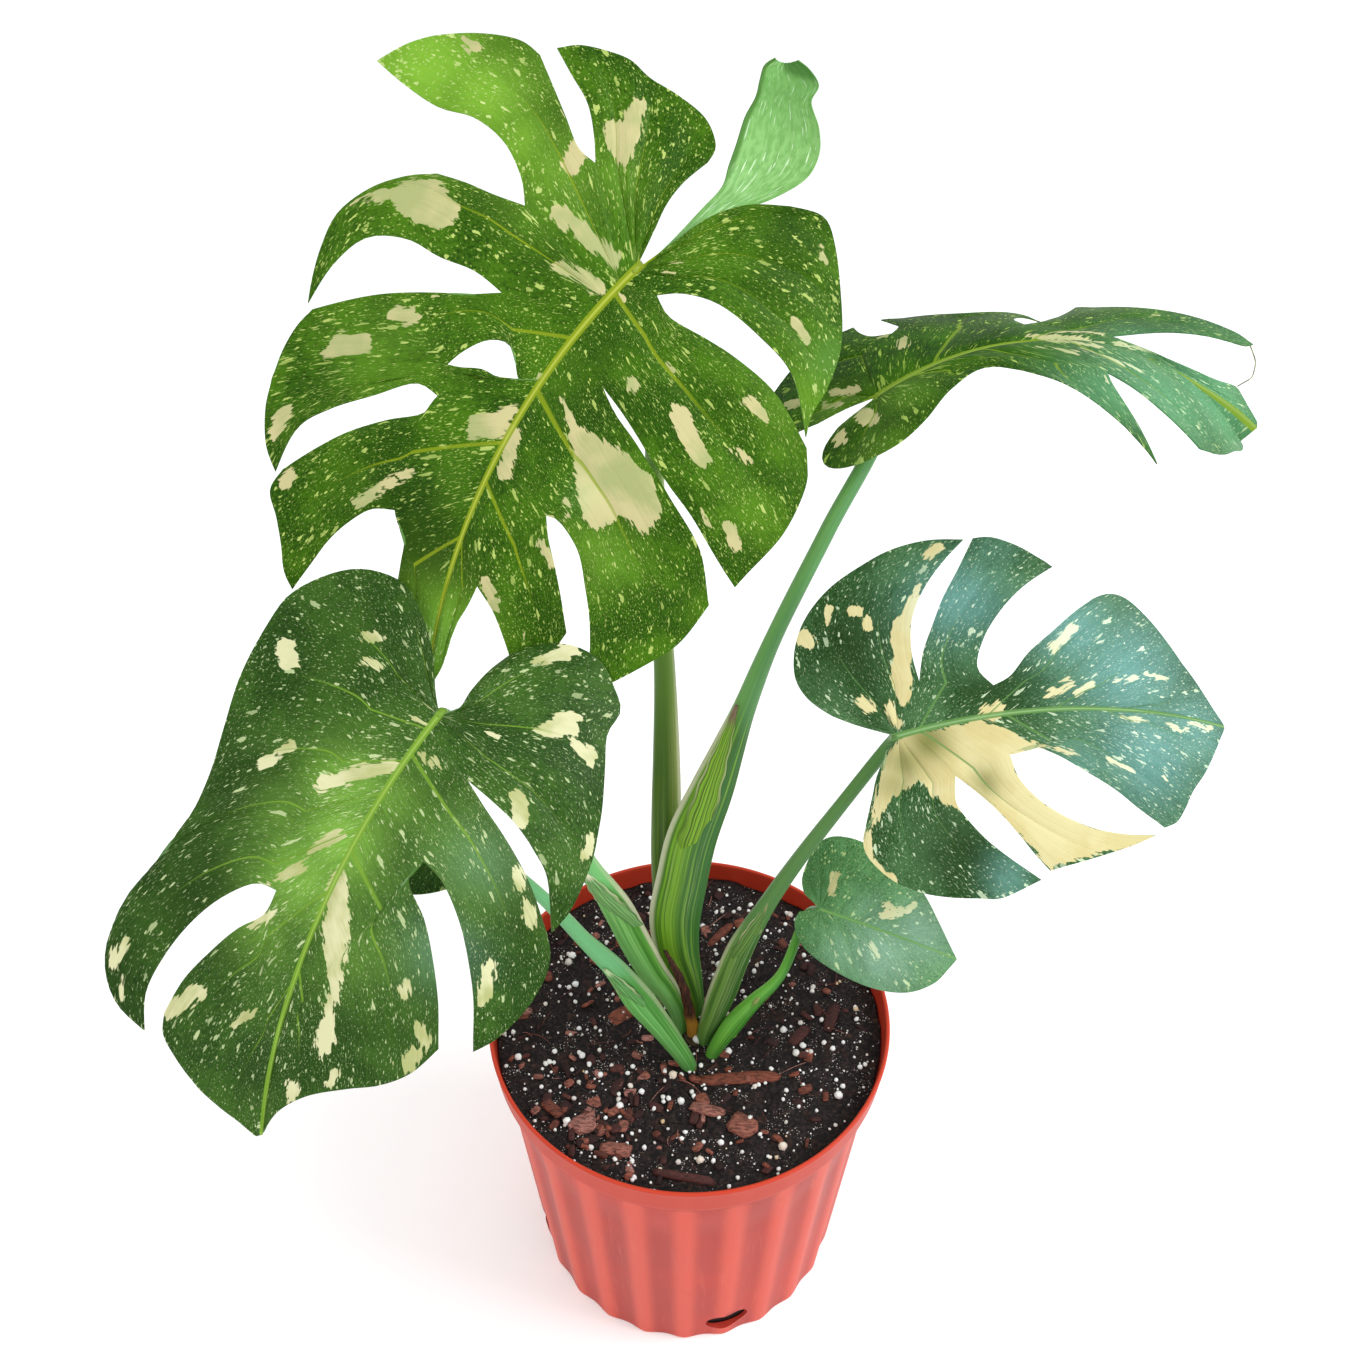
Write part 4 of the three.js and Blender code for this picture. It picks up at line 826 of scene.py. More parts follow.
def lobeGrids(leaf, side, laterals):
    # each lobe blends its two banks with its midrib and margin: upper, lower, inner and outer edge
    fine = blade["fine"]
    coarse = leaf["grid"]
    grid = {**coarse, "seamRows": coarse["seamRows"] * fine, "bankRows": coarse["bankRows"] * fine}
    rows = grid["seamRows"] + grid["bankRows"]
    step = leaf["length"] / leaf["scale"] / grid["stations"]
    start, upper = 0, evenPoints([[0, 0], *side["notch"]], rows)
    for index, lobe in enumerate(side["lobes"]):
        cut = "root" in lobe
        end = lobe["root"] if cut else grid["last"]
        inner = [0] * (grid["fan"] if index == 0 else 0) + [start] * max(0, grid["lobe"] - end + start)
        inner = np.array(inner + list(range(start, end + 1))) * step
        columns = (len(inner) - 1) * fine
        inner = np.interp(np.linspace(0, len(inner) - 1, columns + 1), np.arange(len(inner)), inner)
        inner = rowsOf(inner, 0)
        if cut:
            lower = slitEdge(grid, lobe, lobe["near"], lobe["tip"], end * step)
        else:
            lower = np.linspace([end * step, 0], [leaf["length"] / leaf["scale"], 0], rows + 1)
        outer = evenPoints([upper[-1], *lobe["margin"], lower[-1]], columns)
        s = np.linspace(0, 1, rows + 1)[:, None, None]
        t = np.linspace(0, 1, columns + 1)[None, :, None]
        flat = (upper[:, None] * (1 - t) + lower[:, None] * t + inner[None] * (1 - s) + outer[None] * s
                - (inner[0] * (1 - t) + inner[-1] * t) * (1 - s) - (outer[0] * (1 - t) + outer[-1] * t) * s)
        climb = np.maximum(0, (s * rows - grid["seamRows"]) / grid["bankRows"]) ** 1.4
        first, last = lobe.get("tilt", (0, 0))
        tilt = climb * (first * (1 - t) + last * t)
        spread = np.hypot(*(flat[rows * 2 // 3, -1] - flat[rows * 2 // 3, 0]))
        reachOut = np.hypot(*(outer[columns // 2] - inner[columns // 2]))
        yield dict(flat=flat, tilt=tilt[..., 0], s=s[..., 0], t=t[..., 0], veins=laterals[index],
                   spread=spread, reach=reachOut)
        if cut:
            upper = slitEdge(grid, lobe, lobe["far"], lobe["corner"], end * step)
        start = end


def reliefOf(leaf, lobe, x, y):
    # grooves along the midrib and laterals, swelling between them, and a slow ripple towards the margin
    s, t = lobe["s"], lobe["t"]
    along = np.clip(x * leaf["scale"] / leaf["length"], 0, 1)
    size = leaf["length"] / 220
    half = blade["midribHalf"] * size * (1.1 - 0.8 * along)
    midrib = -blade["midribDepth"] * size * (1 - 0.6 * along) * np.exp(-(y / half) ** 2)
    place = (t * lobe["veins"]) % 1 - 0.5
    inward = ease(s, 0.02, 0.12) * (1 - ease(s, 0.7, 1))
    lateral = -blade["lateralDepth"] * size * inward * np.exp(-(place / blade["lateralHalf"]) ** 2)
    amid = ease(t, 0, 0.12) * (1 - ease(t, 0.88, 1))
    swell = blade["quilt"] * size * inward * amid * np.cos(2 * np.pi * place) * -1
    ripple = blade["ripple"] * size * s ** 3 * np.sin(x / 17 + y / 23) * amid
    return midrib + lateral + swell + ripple


def inSector(x, y, corners):                     # how far inside a shape, negative outside
    corners = np.array(corners, float)
    near = np.full(x.shape, 1e9)
    inside = np.zeros(x.shape, bool)
    for (ax, ay), (bx, by) in zip(corners, np.roll(corners, -1, 0)):
        near = np.minimum(near, fromLine(x, y, ax, ay, bx, by))
        crosses = (ay > y) != (by > y)
        inside ^= crosses & (x < (bx - ax) * (y - ay) / np.where(by == ay, 1e-9, by - ay) + ax)
    return np.where(inside, near, -near)


def fromLine(x, y, ax, ay, bx, by):              # distance to the line between two points
    along = np.clip(((x - ax) * (bx - ax) + (y - ay) * (by - ay)) / ((bx - ax) ** 2 + (by - ay) ** 2), 0, 1)
    return np.hypot(x - ax - along * (bx - ax), y - ay - along * (by - ay))


def creamDepth(x, y, look):                      # how far inside the cream shapes, between -15 and 15
    depth = np.full(x.shape, -15.0)
    for corners in look["sectors"]:
        depth = np.maximum(depth, inSector(x, y, corners))
    for ax, ay, bx, by, half in look["streaks"]:
        depth = np.maximum(depth, half - fromLine(x, y, ax, ay, bx, by))
    return np.clip(depth, -15, 15)


def glowOf(x, y, spots):                         # soft round spots: x, y, radius, strength
    glow = np.zeros(x.shape)
    for sx, sy, radius, strength in spots:
        glow = np.maximum(glow, strength * np.exp(-((x - sx) ** 2 + (y - sy) ** 2) / radius ** 2))
    return glow


def bladeMesh(name, leaf, look):
    points, faces = [], []
    uvs = {"flat": [], "grain": [], "veins": []}
    values = {"cream": [], "sunny": [], "paintedSheen": [], "shade": [], "shadeOnCream": []}
    count, number = 0, 0
    for side, sign, laterals in zip((leaf["left"], leaf["right"]), (1, -1), look["laterals"]):
        for lobe in lobeGrids(leaf, side, laterals):
            x, y = lobe["flat"][..., 0], lobe["flat"][..., 1]
            height = lobe["tilt"] + reliefOf(leaf, lobe, x, y)
            x, y = x * leaf["scale"], sign * y * leaf["scale"]
            points.append(placeOnLeaf(leaf, x, y, height).reshape(-1, 3))
            rows, columns = x.shape
            faces += [*gridFaces(rows, columns, count, turned=sign < 0)]
            number += 1
            values["cream"].append(creamDepth(x, y, look).ravel())
            for key in ("sunny", "paintedSheen", "shade", "shadeOnCream"):
                values[key].append(glowOf(x, y, look.get(key, ())).ravel())
            uvs["flat"].append(rowsOf(x, y) / 100)
            uvs["grain"].append(rowsOf(lobe["s"] * lobe["reach"] / 100 + 3 * number,
                                       lobe["t"] * lobe["spread"] / 100 + 5 * number))
            uvs["veins"].append(rowsOf(lobe["s"], lobe["t"] * lobe["veins"]))
            count += rows * columns
    mesh = meshOf(name, np.vstack(points), faces, {k: np.vstack(v) for k, v in uvs.items()},
                  {k: np.hstack(v) for k, v in values.items()})
    weld(mesh)
    return mesh


def leafFinish(name, look, under=False):
    finish = Finish(name, roughness=0.42, specular=look["gloss"])
    flat, grain = finish.uv("flat"), finish.uv("grain")
    x, y = finish.parts(flat)[:2]
    s, t = finish.parts(finish.uv("veins"))[:2]
    # midrib, lateral veins and the finer veins between them
    half = 0.021 * look["size"] * (1.15 - x * 0.75 / (2.3 * look["size"]))
    rib = 1 - finish.smooth(abs(y) / half, 0.7, 1)
    ribLine = 1 - finish.smooth(abs(y) / half, 0.12, 0.4)
    away = abs(t.fraction() - 0.5)
    inward = 1 - finish.smooth(s, 0.35, 0.72)
    lateral = (1 - finish.smooth(away / (0.03 - 0.026 * s), 0.5, 1)) * inward
    beside = (1 - finish.smooth(away, 0.02, 0.16)) * (1 - s)
    fifths = t * 5
    second = (1 - finish.smooth(abs(fifths.fraction() - 0.5), 0.03, 0.12)) * finish.smooth(s, 0.02, 0.2)
    # greens in slow clouds and streaks along the veins
    slow = finish.drawn(flat, (2.6, 2.6, 1), 3, 0.55, look["shift"])
    streaky = finish.drawn(grain, (8, 50, 1), 3, 0.6)
    mottle = finish.drawn(flat, (30, 30, 1), 3, 0.6)
    cloud = finish.smooth(slow + 0.3 * (streaky - 0.5) + 0.2 * (mottle - 0.5), 0.38, 0.66)
    finish.body = finish.mix(cloud, look["dark"], look["bright"])
    finish.coat(beside * 0.3 + second * 0.1, look["bright"])
    grainy = finish.drawn(grain, (60, 120, 1), 2, 0.7, (4, 4, 0))
    finish.coat(finish.smooth(grainy, 0.44, 0.62) * 0.5, look["bright"])
    finish.coat((1 - finish.smooth(grainy, 0.36, 0.47)) * 0.5, look["deep"])
    # painted shade, painted sunlight and a painted bluish sheen (the glossy reflection of the window) where
    # the soft spots lie
    finish.coat(finish.attribute("shade") * (0.8 + 0.6 * (mottle - 0.5)), look["deep"])
    finish.coat(finish.attribute("sunny") * (0.85 + look["rays"] * (streaky - 0.5)), look["sun"])
    finish.coat(finish.attribute("paintedSheen") * (0.85 + 0.8 * (streaky - 0.5)), look["paintedSheenTone"])
    # flecks in three sizes, crowded in some places and scarce in others
    crowd = finish.drawn(flat, (4, 4, 1), shift=(8, 2, 0)) - 0.5
    # fewer flecks in the painted shade, and paler flecks and cream under the painted sunlight and painted
    # sheen
    many = (1 - 0.5 * finish.attribute("shade")) * look["flecks"]
    pale = finish.attribute("paintedSheen") + finish.attribute("sunny") * 0.5
    speck = finish.mix(pale, look["fleck"], look["litFleck"])
    fine = finish.drawn(grain, (70, 130, 1), 1, 0.5, (6, 2, 0))
    finish.coat(finish.smooth(fine + 0.12 * crowd, 0.63, 0.69) * 0.6 * many, speck)
    small = finish.spots(finish.stretch(grain, (26, 58, 1)), many * (0.62 + 1.3 * crowd), 0.33)
    finish.coat(small, speck)
    large = finish.spots(finish.stretch(grain, (11, 30, 1), (2, 1, 0)), many * (0.38 + 1.2 * crowd), 0.34)
    finish.coat(large, speck)
    # cream with a ragged edge, in two tones
    teeth = finish.drawn(grain, (13, 34, 1), 2, 0.6, (1, 3, 0)) - 0.5
    creamMask = finish.smooth(finish.attribute("cream") + 9 * teeth, -0.3, 0.4)
    wide = finish.stretch(grain, (4.2, 9, 1), look["shift"])
    patches = finish.spots(wide, many * (0.11 + 0.4 * crowd), 0.26)
    creamCloud = finish.smooth(slow + 0.2 * (streaky - 0.5), 0.4, 0.62)
    cream = finish.mix(creamCloud, look["creamTone"], look["creamShade"])
    # the cream is paled by the painted sheen and darkened by painted shade where it lies in shade
    cream = finish.mix(finish.attribute("paintedSheen") * 0.8, cream, look["litFleck"])
    cream = finish.mix(finish.attribute("shadeOnCream"), cream, look["shadeOnCreamTone"])
    finish.coat(finish.smooth(patches, 0.3, 0.4), cream)
    finish.coat(creamMask, cream)
    finish.coat(lateral * 0.75, look["vein"])
    finish.coat(rib * 0.92, look["vein"])
    finish.coat(ribLine * 0.6, look["veinLine"])
    if under:
        finish.coat(0.5, look["under"])
    pores = finish.drawn(flat, (110, 110, 1), 2, 0.6)
    roughness = (0.46 if under else 0.34) + 0.16 * pores
    return finish.dress(roughness, pores - 0.6 * second - 0.5 * lateral, 0.3, 0.0005)


# Laterals are how many veins each lobe has. Cream shapes lie in the flat leaf, in millimetres from the stalk,
# with the left side positive: a streak has its two ends and half width, a sector its corners. Soft spots have
# a place, a radius and a strength: painted sunlight, painted shade, a painted bluish sheen, or painted shade
# on cream.
brightLook = dict(size=1.05, shift=(0, 0, 0), dark=(33, 68, 4), bright=(66, 108, 14), deep=(22, 48, 2),
                  sun=(126, 176, 54), vein=(128, 146, 26), veinLine=(182, 190, 82), fleck=(172, 190, 100),
                  creamTone=(190, 182, 132), creamShade=(160, 166, 110), shadeOnCreamTone=(140, 140, 80),
                  paintedSheenTone=(84, 130, 62), under=(120, 165, 92), flecks=1, gloss=0.06, rays=0.4,
                  litFleck=(206, 222, 160))
darkLook = dict(brightLook, size=0.9, shift=(3, 1, 0), dark=(32, 62, 14), bright=(58, 94, 28),
                sun=(100, 150, 56), vein=(98, 132, 44), veinLine=(140, 164, 86), fleck=(168, 188, 124),
                paintedSheenTone=(112, 152, 128), under=(110, 150, 100), flecks=0.85, gloss=0.1)
tealLook = dict(darkLook, dark=(36, 72, 28), bright=(70, 110, 66), vein=(96, 138, 72),
                veinLine=(150, 186, 130), fleck=(190, 208, 170), creamTone=(212, 202, 150),
                creamShade=(202, 188, 130), shadeOnCreamTone=(118, 120, 62), paintedSheenTone=(108, 160, 152),
                litFleck=(214, 230, 206))
looks = dict(
    leaf_blade_largest=dict(brightLook, laterals=[[3, 1, 1, 1, 1], [3, 1, 1, 1, 1, 1, 1]],
        sectors=[
            [(69, 9), (77, 26), (75, 46), (78, 68), (92, 82), (111, 80), (106, 66), (121, 58), (119, 50),
             (98, 35), (82, 24)],
            [(57, -118), (36, -102), (30, -95), (33, -76), (43, -76), (49, -88), (48, -104)],
            [(-29, -36), (-44, -42), (-60, -53), (-57, -58), (-45, -54), (-36, -59), (-30, -48)],
            [(84, -2), (100, -20), (110, -17), (103, -3)],
            [(111, -94), (99, -93), (92, -78), (98, -74), (107, -86)],
        ],
        streaks=[(-12, -55, -20, -58, 4.5), (81, -72, 78, -66, 3.5), (97, 2, 116, 7, 3.5),
                 (39, 62, 50, 82, 6), (8, -44, 4, -9, 3.5), (24, -26, 18, -6, 3), (156, -52, 134, -34, 2.2),
                 (159, -88, 155, -86, 3), (140, 36, 149, 46, 2), (170, 18, 181, 25, 3), (76, 114, 85, 124, 4),
                 (79, 98, 82, 105, 2.5), (114, 39, 122, 42, 2), (4, 82, 1, 93, 3.5), (-41, 72, -40, 80, 3),
                 (32, 94, 30, 103, 2.5), (142, -100, 133, -98, 3), (42, 34, 45, 37, 3),
                 (-19, -131, -20, -125, 2.5), (-76, 54, -74, 59, 2)],
        sunny=[(2, -136, 32, 1), (-6, -106, 26, 0.9), (-2, -80, 18, 0.7), (-30, 76, 30, 0.15),
               (-20, 100, 24, 0.4), (60, 122, 24, 0.2), (94, -69, 20, 0.2), (206, 0, 26, 1),
               (-4, -58, 24, 0.5), (-20, -40, 18, 0.3), (132, 66, 20, 0.4)],
        shade=[(166, -18, 30, 1), (150, -40, 24, 0.5), (-69, 37, 22, 0.5), (60, 24, 22, 0.4),
               (30, -20, 22, 0.3)],
        paintedSheen=[(-42, 96, 12, 0.5), (108, 45, 10, 0.3), (206, -2, 14, 0.4)]),
    leaf_blade_high_right=dict(darkLook, laterals=[[2, 1, 1, 1], [3, 2]], dark=(26, 60, 2),
        bright=(52, 96, 8), vein=(118, 146, 34), paintedSheenTone=(100, 160, 116), gloss=0.06, flecks=0.95,
        fleck=(150, 178, 72), sun=(112, 158, 40), litFleck=(198, 224, 184),
        sectors=[
            [(-13, -2), (-7, -7), (-5, -18), (-9, -24), (-13, -18), (-17, -12)],
            [(-32, -12), (-26, -9), (-23, -14), (-27, -20), (-33, -19)],
        ],
        streaks=[(-18, 21, -7, 12, 2.5), (-25, 16, -19, 10, 2.5), (-41, 36, -31, 24, 3),
                 (24, 24, 27, 33, 2.5), (86, 4, 124, 2, 2.2), (92, -3, 120, -9, 1.8), (98, 9, 126, 12, 1.6),
                 (108, -14, 138, -26, 1.6), (84, -10, 104, -20, 1.4), (132, 6, 158, 12, 1.6)],
        sunny=[(-20, 8, 16, 0.4), (-14, -44, 20, 0.35), (12, -16, 16, 0.3)],
        paintedSheen=[(190, -10, 46, 0.9), (150, -40, 46, 0.85), (112, -56, 34, 0.7), (200, 40, 40, 0.35),
              (150, 10, 26, 0.5)]),
    leaf_blade_low_left=dict(darkLook, laterals=[[3, 1, 2], [6, 2]], sun=(120, 168, 62), rays=1,
        vein=(112, 150, 44), veinLine=(156, 184, 88), creamTone=(206, 204, 160), creamShade=(168, 172, 112),
        fleck=(176, 190, 138),
        sectors=[
            [(82, -2), (92, -2), (111, 4), (135, 17), (161, 17), (170, 22), (160, 26), (140, 22), (113, 18),
             (100, 14), (88, 6)],
            [(-20, 39), (-36, 45), (-40, 52), (-34, 57), (-22, 49)],
            [(-48, 18), (-68, 24), (-68, 36), (-52, 26)],
        ],
        streaks=[(32, -4, 54, -26, 3.5), (100, -26, 90, -16, 2), (120, -27, 114, -20, 2.5),
                 (168, -53, 157, -42, 4), (-28, 60, -26, 69, 3.5), (11, 53, 21, 60, 4), (95, 79, 116, 83, 3),
                 (12, -81, 17, -73, 4), (58, -56, 56, -52, 3), (21, 5, 20, 15, 2), (44, 71, 50, 75, 3),
                 (58, 83, 65, 88, 3.2), (164, -21, 157, -14, 2), (158, -87, 148, -83, 2.5),
                 (170, -79, 160, -80, 1.5), (120, 48, 126, 49, 2), (138, 59, 145, 66, 3),
                 (152, 61, 160, 61, 3.5), (172, 30, 179, 28, 2), (185, 12, 190, 12, 3),
                 (82, -16, 69, -7, 2.2), (4, 90, 16, 93, 2.5), (50, -52, 47, -49, 2.5),
                 (-11, -51, -14, -46, 2.5), (-1, -44, -2, -37, 2)],
        sunny=[(72, -6, 22, 1), (94, -14, 22, 0.9), (52, -16, 22, 0.8), (120, -22, 18, 0.5), (46, 4, 16, 0.6),
               (116, 24, 22, 0.3), (74, -34, 18, 0.4), (52, 46, 26, 0.35)],
        shade=[(118, -56, 26, 0.9), (8, -58, 30, 0.4), (70, -62, 24, 0.6), (60, 78, 20, 0.6),
               (160, -80, 30, 0.5), (150, 60, 24, 0.4)],
        paintedSheen=[(98, 58, 18, 0.4), (50, 54, 18, 0.3)]),
    leaf_blade_mid_right=dict(tealLook, laterals=[[3, 1, 3], [3, 1, 2]],
        sectors=[
            [(-9, -8), (2, -1), (46, -3), (60, -13), (72, -20), (56, -22), (55, -30), (64, -45), (90, -59),
             (134, -63), (122, -68), (66, -79), (40, -47), (23, -29), (22, -46), (8, -34), (5, -25),
             (-12, -30), (-27, -43), (-20, -28)],
            [(6, 11), (4, 25), (10, 48), (12, 56), (22, 68), (27, 76), (29, 73), (20, 52), (14, 29),
             (10, 16)],
        ],
        streaks=[(-30, -44, -32, -54, 3), (-31, -58, -24, -68, 2.5), (1, 6, 0, 16, 2), (-13, 22, -9, 17, 3),
                 (82, 32, 92, 42, 2.4), (77, 7, 88, 13, 2.2), (91, 8, 99, 12, 1.8), (46, 2, 52, 3, 3.5),
                 (105, -26, 117, -31, 1.2), (34, 88, 38, 91, 3), (-18, 67, -15, 74, 2), (-4, 70, -2, 68, 3),
                 (0, 58, 2, 63, 2), (78, -21, 88, -24, 1.4), (151, -3, 163, -3, 1.2), (-33, 64, -30, 60, 4),
                 (114, -4, 126, -5, 1.3), (138, -6, 149, -7, 1.2), (38, -1, 50, 0, 2),
                 (112, 14, 122, 18, 1.2), (128, 20, 138, 19, 1.2)],
        shade=[(-8, 54, 26, 0.9), (14, -62, 24, 0.9), (52, 14, 18, 0.7), (70, 44, 14, 0.6)],
        paintedSheen=[(118, 20, 30, 0.95), (128, -20, 30, 0.9), (152, -6, 24, 0.8), (40, -82, 14, 0.6),
              (42, 62, 22, 0.8), (94, 40, 22, 0.9), (92, -28, 18, 0.5), (60, 84, 14, 0.3)],
        shadeOnCream=[(14, -7, 11, 0.95), (0, -14, 11, 0.8), (38, -33, 8, 0.7), (-8, -24, 10, 0.6)]),
    leaf_blade_small_right=dict(darkLook, laterals=[[7], [7]], size=0.55, flecks=0.7, dark=(58, 100, 52),
        bright=(88, 138, 84), paintedSheenTone=(136, 172, 150), litFleck=(206, 226, 196), vein=(96, 146, 84),
        sectors=[],
        streaks=[(4, 13, 3, 24, 2.5), (37, 8, 45, 14, 2.5), (46, 15, 56, 22, 2), (35, -10, 41, -17, 1.5)],
        paintedSheen=[(44, -14, 24, 0.8), (62, 6, 22, 0.7), (20, -22, 16, 0.5), (30, 8, 14, 0.4)]),
    leaf_blade_small_left=dict(darkLook, laterals=[[6], [6]], size=0.4,
        sectors=[],
        streaks=[(24, 6, 34, 14, 2)]),
)


for leaf in (leafA, leafB, leafC, leafD, leafE, leafG):
    node = leaf["name"]
    look = looks[node]
    skins = [leafFinish(node + "_upper", look), leafFinish(node + "_under", look, under=True)]
    piece = addPiece(node + "_veined", bladeMesh(node + "_veined", leaf, look), skins, [node])
    thicken(piece, blade["thickness"], 55, 1)
    print(node, "done", len(piece.data.polygons))


def turnedLobeMesh():
    # rows of points between the lobe's two edges, hollowed between them and placed on the flat leaf
    fine = 6
    rows = np.array([[*left, *right, height] for left, right, height in turnedLobe["rows"]], float)
    steps = np.linspace(0, len(rows) - 1, (len(rows) - 1) * fine + 1)
    row = smoothCurve(rows, steps)
    t = np.linspace(0, 1, turnedLobe["columns"] * fine + 1)[None]
    x = row[:, 0:1] * (1 - t) + row[:, 2:3] * t
    y = row[:, 1:2] * (1 - t) + row[:, 3:4] * t
    out = steps[:, None]
    ribs = 0.3 * np.cos(2 * np.pi * 7 * t) * ease(out, 1, 5)
    forward = turnedLobe["hollow"] * (2 * t - 1) ** 2 * np.minimum(1, out / 4)
    tucked = 3.2 * (1 - ease(out, 0.5, 3))       # keeps the foot behind the blade
    points = placeOnLeaf(leafA, x, y, row[:, 4:5] + forward + ribs - tucked)
    uv = rowsOf(out / (len(rows) - 1), t)
    return meshOf("leaf_blade_turned_lobe", points.reshape(-1, 3), gridFaces(*x.shape), {"lobe": uv})


def turnedLobeFinish():
    finish = Finish("turned_lobe_underside", roughness=0.5, specular=0.2)
    uv = finish.uv("lobe")
    s, t = finish.parts(uv)[:2]
    streaks = finish.drawn(uv, (9, 40, 1), 3, 0.6)
    dashes = finish.drawn(uv, (9, 30, 1), 2, 0.5, (3, 1, 0))
    mottle = finish.drawn(uv, (26, 16, 1), 3, 0.6)
    cloud = finish.smooth(mottle + 0.3 * (streaks - 0.5), 0.38, 0.62)
    finish.body = finish.mix(cloud, (108, 160, 79), (135, 184, 106))
    finish.coat((1 - s) * 0.3, (140, 192, 126))
    finish.coat(finish.smooth(dashes, 0.63, 0.66) * 0.8, (210, 234, 196))
    # darker towards the left margin and at the folded tip
    finish.coat(finish.smooth(s + 0.2 * (mottle - 0.5), 0.45, 0.85) * 0.5, (88, 146, 70))
    edge = (1 - finish.smooth(t, 0.03, 0.1)) * finish.smooth(s, 0.3, 0.5)
    finish.coat(edge * 0.9, (70, 116, 44))
    fold = finish.smooth(s + 0.12 * t, 0.92, 1) * finish.smooth(t, 0.3, 0.6)
    finish.coat(fold * 0.85, (60, 112, 40))
    return finish.dress(0.42 + 0.2 * mottle, streaks, 0.25, 0.0005)


piece = addPiece("leaf_blade_turned_lobe", turnedLobeMesh(), [turnedLobeFinish()],
                 ["leaf_blade_largest"])
thicken(piece, blade["thickness"], 55)


# A fine dried thread joins two tips of the far leaf: its way has flat places with heights above the blade.
thread = dict(way=[(203, 41, 30), (211, 37, 26), (213, 29, 18), (208, 21, 9)], rings=28, sides=6, radius=0.35)


def threadMesh(leaf, way):
    # rings of points round a smooth line
    line = placeOnLeaf(leaf, *knotRows(way, thread["rings"], 4)[1].T)
    ahead = np.gradient(line, axis=0)
    side = unit(np.cross(ahead, [0, 1, 0.3]))
    up = unit(np.cross(side, ahead))
    a = circle(thread["sides"])[..., None]
    points = line[:, None] + thread["radius"] * (np.cos(a) * side[:, None] + np.sin(a) * up[:, None])
    return (np.vstack([points.reshape(-1, 3), line[:1], line[-1:]]),
            tubeFaces(thread["rings"], thread["sides"]))


def threadFinish():
    finish = Finish("dried_thread", roughness=0.6, specular=0.2)
    dry = finish.noise(finish.place(), 160, 2)
    finish.feed("Base Color", finish.mix(finish.smooth(dry, 0.4, 0.6), (86, 92, 58), (146, 150, 104)))
    return finish


points, faces = threadMesh(leafD, thread["way"])
addPiece("thread_0", meshOf("thread_0", points, faces), [threadFinish()])
print("leaves done")

